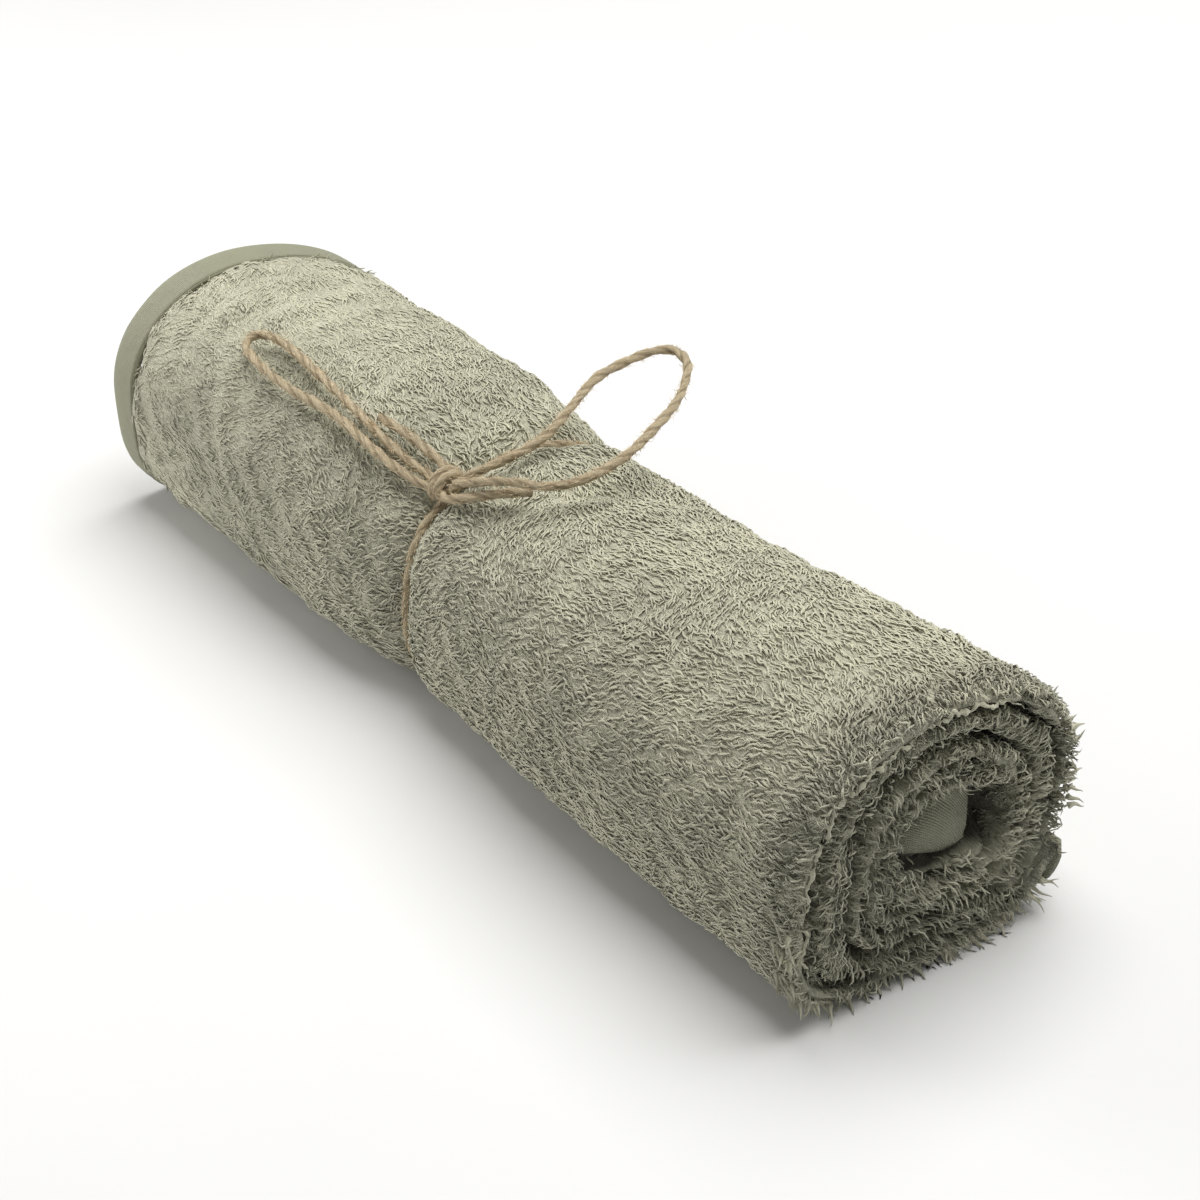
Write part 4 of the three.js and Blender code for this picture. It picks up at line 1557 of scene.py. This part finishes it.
    def route(self) -> Array:
        """The whole length from one free end to the other, through the knot each time.

        The right end passes through the knot to the left loop. That comes back into the knot and
        turns down into the ring. The ring comes up behind, passes once over the knot, tucks under
        it and leaves as the right loop, which comes back through to the left end. The wrap is a
        flattened circle that moves along the roll as it turns.

        Returns:
            Places a short step apart.
        """
        turned = np.radians(np.arange(-110, 446, 39.0))
        down, out = 5.5 * np.sin(turned), 0.9 + 4.0 * np.cos(turned)
        coils = np.stack([-1.5 + 3.2 * turned / (2 * np.pi) - 0.18 * down, down, out], axis=1)
        whole = np.vstack([
            self.RIGHT_TAIL[::-1],
            self.local(self.THROUGH_LOW),
            self.LEFT_LOOP[::-1],
            self.local(self.INTO_RING),
            self.ring(),
            self.local(np.vstack([coils, self.OUT_OF_WRAP])),
            self.RIGHT_LOOP[::-1],
            self.local(self.THROUGH_HIGH),
            self.LEFT_TAIL,
        ])
        line = smooth_path(whole, self.spacing)
        for _ in range(self.easing):
            line[1:-1] = (line[:-2] + 2 * line[1:-1] + line[2:]) / 4
        return smooth_path(line[::3], self.spacing)

    def frames(self, line: Array) -> tuple:
        """Two directions across the line at each place, carried along it without turning.

        The frame at a place is the one before, flattened onto the new cross-section. Only the
        line's places are stepped through, and the surface's points come from whole arrays.

        Args:
            line: the places along the twine.

        Returns:
            Directions along, and two across.
        """
        ahead = unit(np.gradient(line, axis=0))
        side = np.empty_like(line)
        held = unit(np.cross(ahead[0], [0.0, 0.0, 1.0]))
        for i, way in enumerate(ahead):
            held = unit(held - way * (held @ way))
            side[i] = held
        return ahead, side, np.cross(ahead, side)

    def surface(self, line: Array) -> Surface:
        """The two plies as one tube whose section has two lobes and turns along the lay.

        A point's distance out at a direction is the far side of the nearer ply's circle: the
        ply's offset times the cosine, plus the root of its radius squared less the offset times
        the sine squared. The ends are cut square and frayed a little.

        Args:
            line: the places along the twine.

        Returns:
            The closed tube, with lengths along and around it for the fibres.
        """
        _, side, up = self.frames(line)
        rows, columns = len(line), self.sides
        run = np.arange(rows) * lengths_along(line)[-1] / (rows - 1)
        ends = np.minimum(run, run[-1] - run)
        around = circle(columns)
        lobe = self.ply_offset * np.abs(np.cos(around))
        lobe = lobe + np.sqrt(self.ply_radius**2 - (self.ply_offset * np.sin(around)) ** 2)
        height, wave, seed = self.roughness
        rough = 1 + height * drift(np.repeat(line, columns, axis=0), wave, seed).reshape(rows, columns)
        swell, short, long = self.swelling
        frayed, near = self.frayed
        fat = (1 + swell * np.sin(run / short) * np.sin(run / long)) * (1 + frayed * bell(ends, near))
        radius = lobe[None] * rough * fat[:, None]
        angle = around[None] + 2 * np.pi * run[:, None] / self.lay
        points = carried(line, side, up, radius * np.cos(angle), radius * np.sin(angle))
        # cleft: painted shade in the groove between the plies, and darker near the cut ends
        cleft = 0.55 * smoothstep(np.abs(np.sin(around)), 0.86, 1.0)[None] + 0.45 * bell(ends, 1.3)[:, None]
        values = {
            "run": np.concatenate([np.repeat(run, columns), run[[0, -1]]]),
            "ply": np.concatenate([np.tile(around, rows), [0, 0]]),
            "cleft": np.concatenate([cleft.ravel(), [0.5, 0.5]]),
        }
        flat = np.vstack([points.reshape(-1, 3), line[:1], line[-1:]])
        return Surface(flat, tube_faces(rows, columns), values)

    def fuzz(self, line: Array) -> Surface:
        """Loose fibre ends: thin three-sided spikes that leave the twine at a slant and curl.

        Args:
            line: the places along the twine.

        Returns:
            The spikes as one surface.
        """
        draw = np.random.default_rng(self.hair_seed)
        ahead, side, up = self.frames(line)
        one = (self.hairs, 1)
        pick = draw.integers(3, len(line) - 3, self.hairs)
        turn = draw.uniform(0, 2 * np.pi, self.hairs)[:, None]
        out = side[pick] * np.cos(turn) + up[pick] * np.sin(turn)
        way = ahead[pick] * np.where(draw.uniform(0, 1, one) < 0.5, -1, 1)
        size = draw.uniform(*self.hair_length, one)
        bend = draw.normal(0, 0.35, (self.hairs, 3))
        start = line[pick] + out * self.hair_root
        middle = start + (out * 0.35 + way * 0.5) * size
        end = middle + (out * 0.3 + way * 0.35 + bend) * size
        across = unit(np.cross(way, out))
        thin = draw.uniform(*self.hair_radius, one) * [1.0, 0.85]
        corner = circle(3)
        lines = np.stack([start, middle], axis=1)
        a, b = thin[..., None] * np.cos(corner), thin[..., None] * np.sin(corner)
        body = carried(lines, across[:, None], out[:, None], a, b).reshape(self.hairs, -1, 3)
        points = np.concatenate([body, end[:, None]], axis=1)
        points[..., 2] = np.maximum(points[..., 2], FLOOR)
        return copies(points, spike_faces(2))


# The studio


@dataclass
class Studio:
    """A pale floor, soft light from above and a camera at the photograph's angle."""

    eye: tuple = (580.1, -406.0, 467.0)
    right: tuple = (0.595496, 0.803358, 0.0)
    up: tuple = (-0.422846, 0.313438, 0.850270)
    ahead: tuple = (-0.683071, 0.506332, -0.526347)
    lens: float = 78.0
    floor_half: float = 4.0
    sky_strength: float = 0.16
    overhead: tuple = ((-0.02, 0.52, 1.9), 2.0, 55.0, (1.0, 0.995, 0.98))
    from_far_side: tuple = ((-0.66, -0.5, 0.26), 0.5, 3.0, (1.0, 0.99, 0.97))

    def put(self, name: str, data: object, columns: list) -> bpy.types.Object:
        """Adds an object, turned and placed by four columns of its matrix.

        Args:
            name: its name.
            data: its mesh, camera or lamp.
            columns: its three axes and its place.

        Returns:
            The object.
        """
        added = bpy.data.objects.new(name, data)
        added.matrix_world = Matrix(np.vstack([np.stack(columns, axis=1), [0, 0, 0, 1]]).tolist())
        bpy.context.scene.collection.objects.link(added)
        return added

    def camera(self) -> None:
        """Sets the camera by its place, its right, its up and the way it looks."""
        data = bpy.data.cameras.new("camera")
        data.lens = self.lens
        data.sensor_width = 36.0
        data.clip_start = 0.01
        columns = [self.right, self.up, -np.array(self.ahead), np.array(self.eye) * MILLIMETRE]
        bpy.context.scene.camera = self.put("camera", data, columns)

    def lamp(self, name: str, place: tuple, size: float, watts: float, colour: tuple) -> None:
        """A square soft lamp that faces the middle of the roll.

        Args:
            name: the lamp's name.
            place: where it stands, in metres.
            size: its side, in metres.
            watts: its power.
            colour: its light's colour.
        """
        data = bpy.data.lights.new(name, "AREA")
        data.shape = "SQUARE"
        data.size = size
        data.energy = watts
        data.color = colour
        back = unit(np.array(place) - np.array([0, 0, 0.04]))
        across = unit(np.cross([0.05, 1.0, 0.0], back))
        self.put(name, data, [across, np.cross(back, across), back, place])

    def floor(self) -> None:
        """A wide pale floor just under the resting face."""
        half = self.floor_half
        corners = [(-half, -half, 0), (half, -half, 0), (half, half, 0), (-half, half, 0)]
        mesh = bpy.data.meshes.new("floor")
        mesh.from_pydata(corners, [], [(0, 1, 2, 3)])
        recipe = Recipe("studio_floor")
        grain = recipe.spread(recipe.noise(6.0), 0.3, 0.7, 0.79, 0.81)
        relief = recipe.bump(recipe.noise(400.0), 0.02)
        mesh.materials.append(recipe.dress(recipe.grey(grain), 0.9, relief, 0.0))
        self.put("floor", mesh, [*np.eye(3), np.zeros(3)])

    def light(self) -> None:
        """Sets an even white sky and two soft lamps, one above and one from the far side."""
        world = bpy.data.worlds.new("studio")
        world.use_nodes = True
        background = world.node_tree.nodes["Background"]
        background.inputs["Color"].default_value = (1.0, 1.0, 1.0, 1)
        background.inputs["Strength"].default_value = self.sky_strength
        bpy.context.scene.world = world
        self.lamp("overhead", *self.overhead)
        self.lamp("from_far_side", *self.from_far_side)
        settings = bpy.context.scene.view_settings
        settings.view_transform = "Standard"
        settings.look = "None"


def main() -> None:
    """Builds the camera, the twine, the cloth, its bands and its pile, and the studio."""
    studio = Studio()
    studio.camera()
    form, winding = RollForm(), Winding()

    bow = JuteBow(form)
    line = bow.route()
    jute = JuteFinish()
    twine = make_piece("bow_twine", bow.surface(line), jute.twine())
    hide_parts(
        "tie_ring", "tie_knot", "tie_loop_left", "tie_loop_right", "tie_tail_left", "tie_tail_right"
    )
    fuzz = make_piece("bow_fuzz", bow.fuzz(line), jute.fuzz())

    terry = TerryFinish()
    cloth = TerryCloth(form, winding).surface()
    roll = make_piece("towel_cloth", cloth, terry.ground())
    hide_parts("towel_roll")

    weave = SmoothFinish("smooth_binding_weave").material()
    band = make_piece("end_binding", EdgeBinding(form, winding).surface(), weave)
    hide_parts("edge_binding")
    hem_shade = (0.19, 0.185, 0.13, 1)
    ribbed = SmoothFinish("hem_ribs", shade=hem_shade, rib_mm=1.0, rib_depth=0.34, slant=0.9).material()
    hems = SmoothHems(form)
    patch, strip = hems.core_patch(), hems.loose_strip()
    make_piece("core_hem", patch, ribbed)
    make_piece("loose_end_hem", strip, ribbed)

    ring = bow.in_ring(line)
    smooth = np.vstack([patch.points, strip.points[::2]])
    pile = TerryPile(cloth, form, winding, line[~ring][::2], line[ring][::2], smooth)
    rim = NearRim(form, winding)
    yarn = terry.yarn()
    make_piece("rim_edge", rim.edge(), yarn)
    make_piece("rim_fringe", rim.fringe(), yarn)
    for number, surface in enumerate(pile.surfaces(), 1):
        make_piece(f"terry_pile_{number}", surface, yarn)

    studio.floor()
    studio.light()


if __name__ == "__main__":
    main()
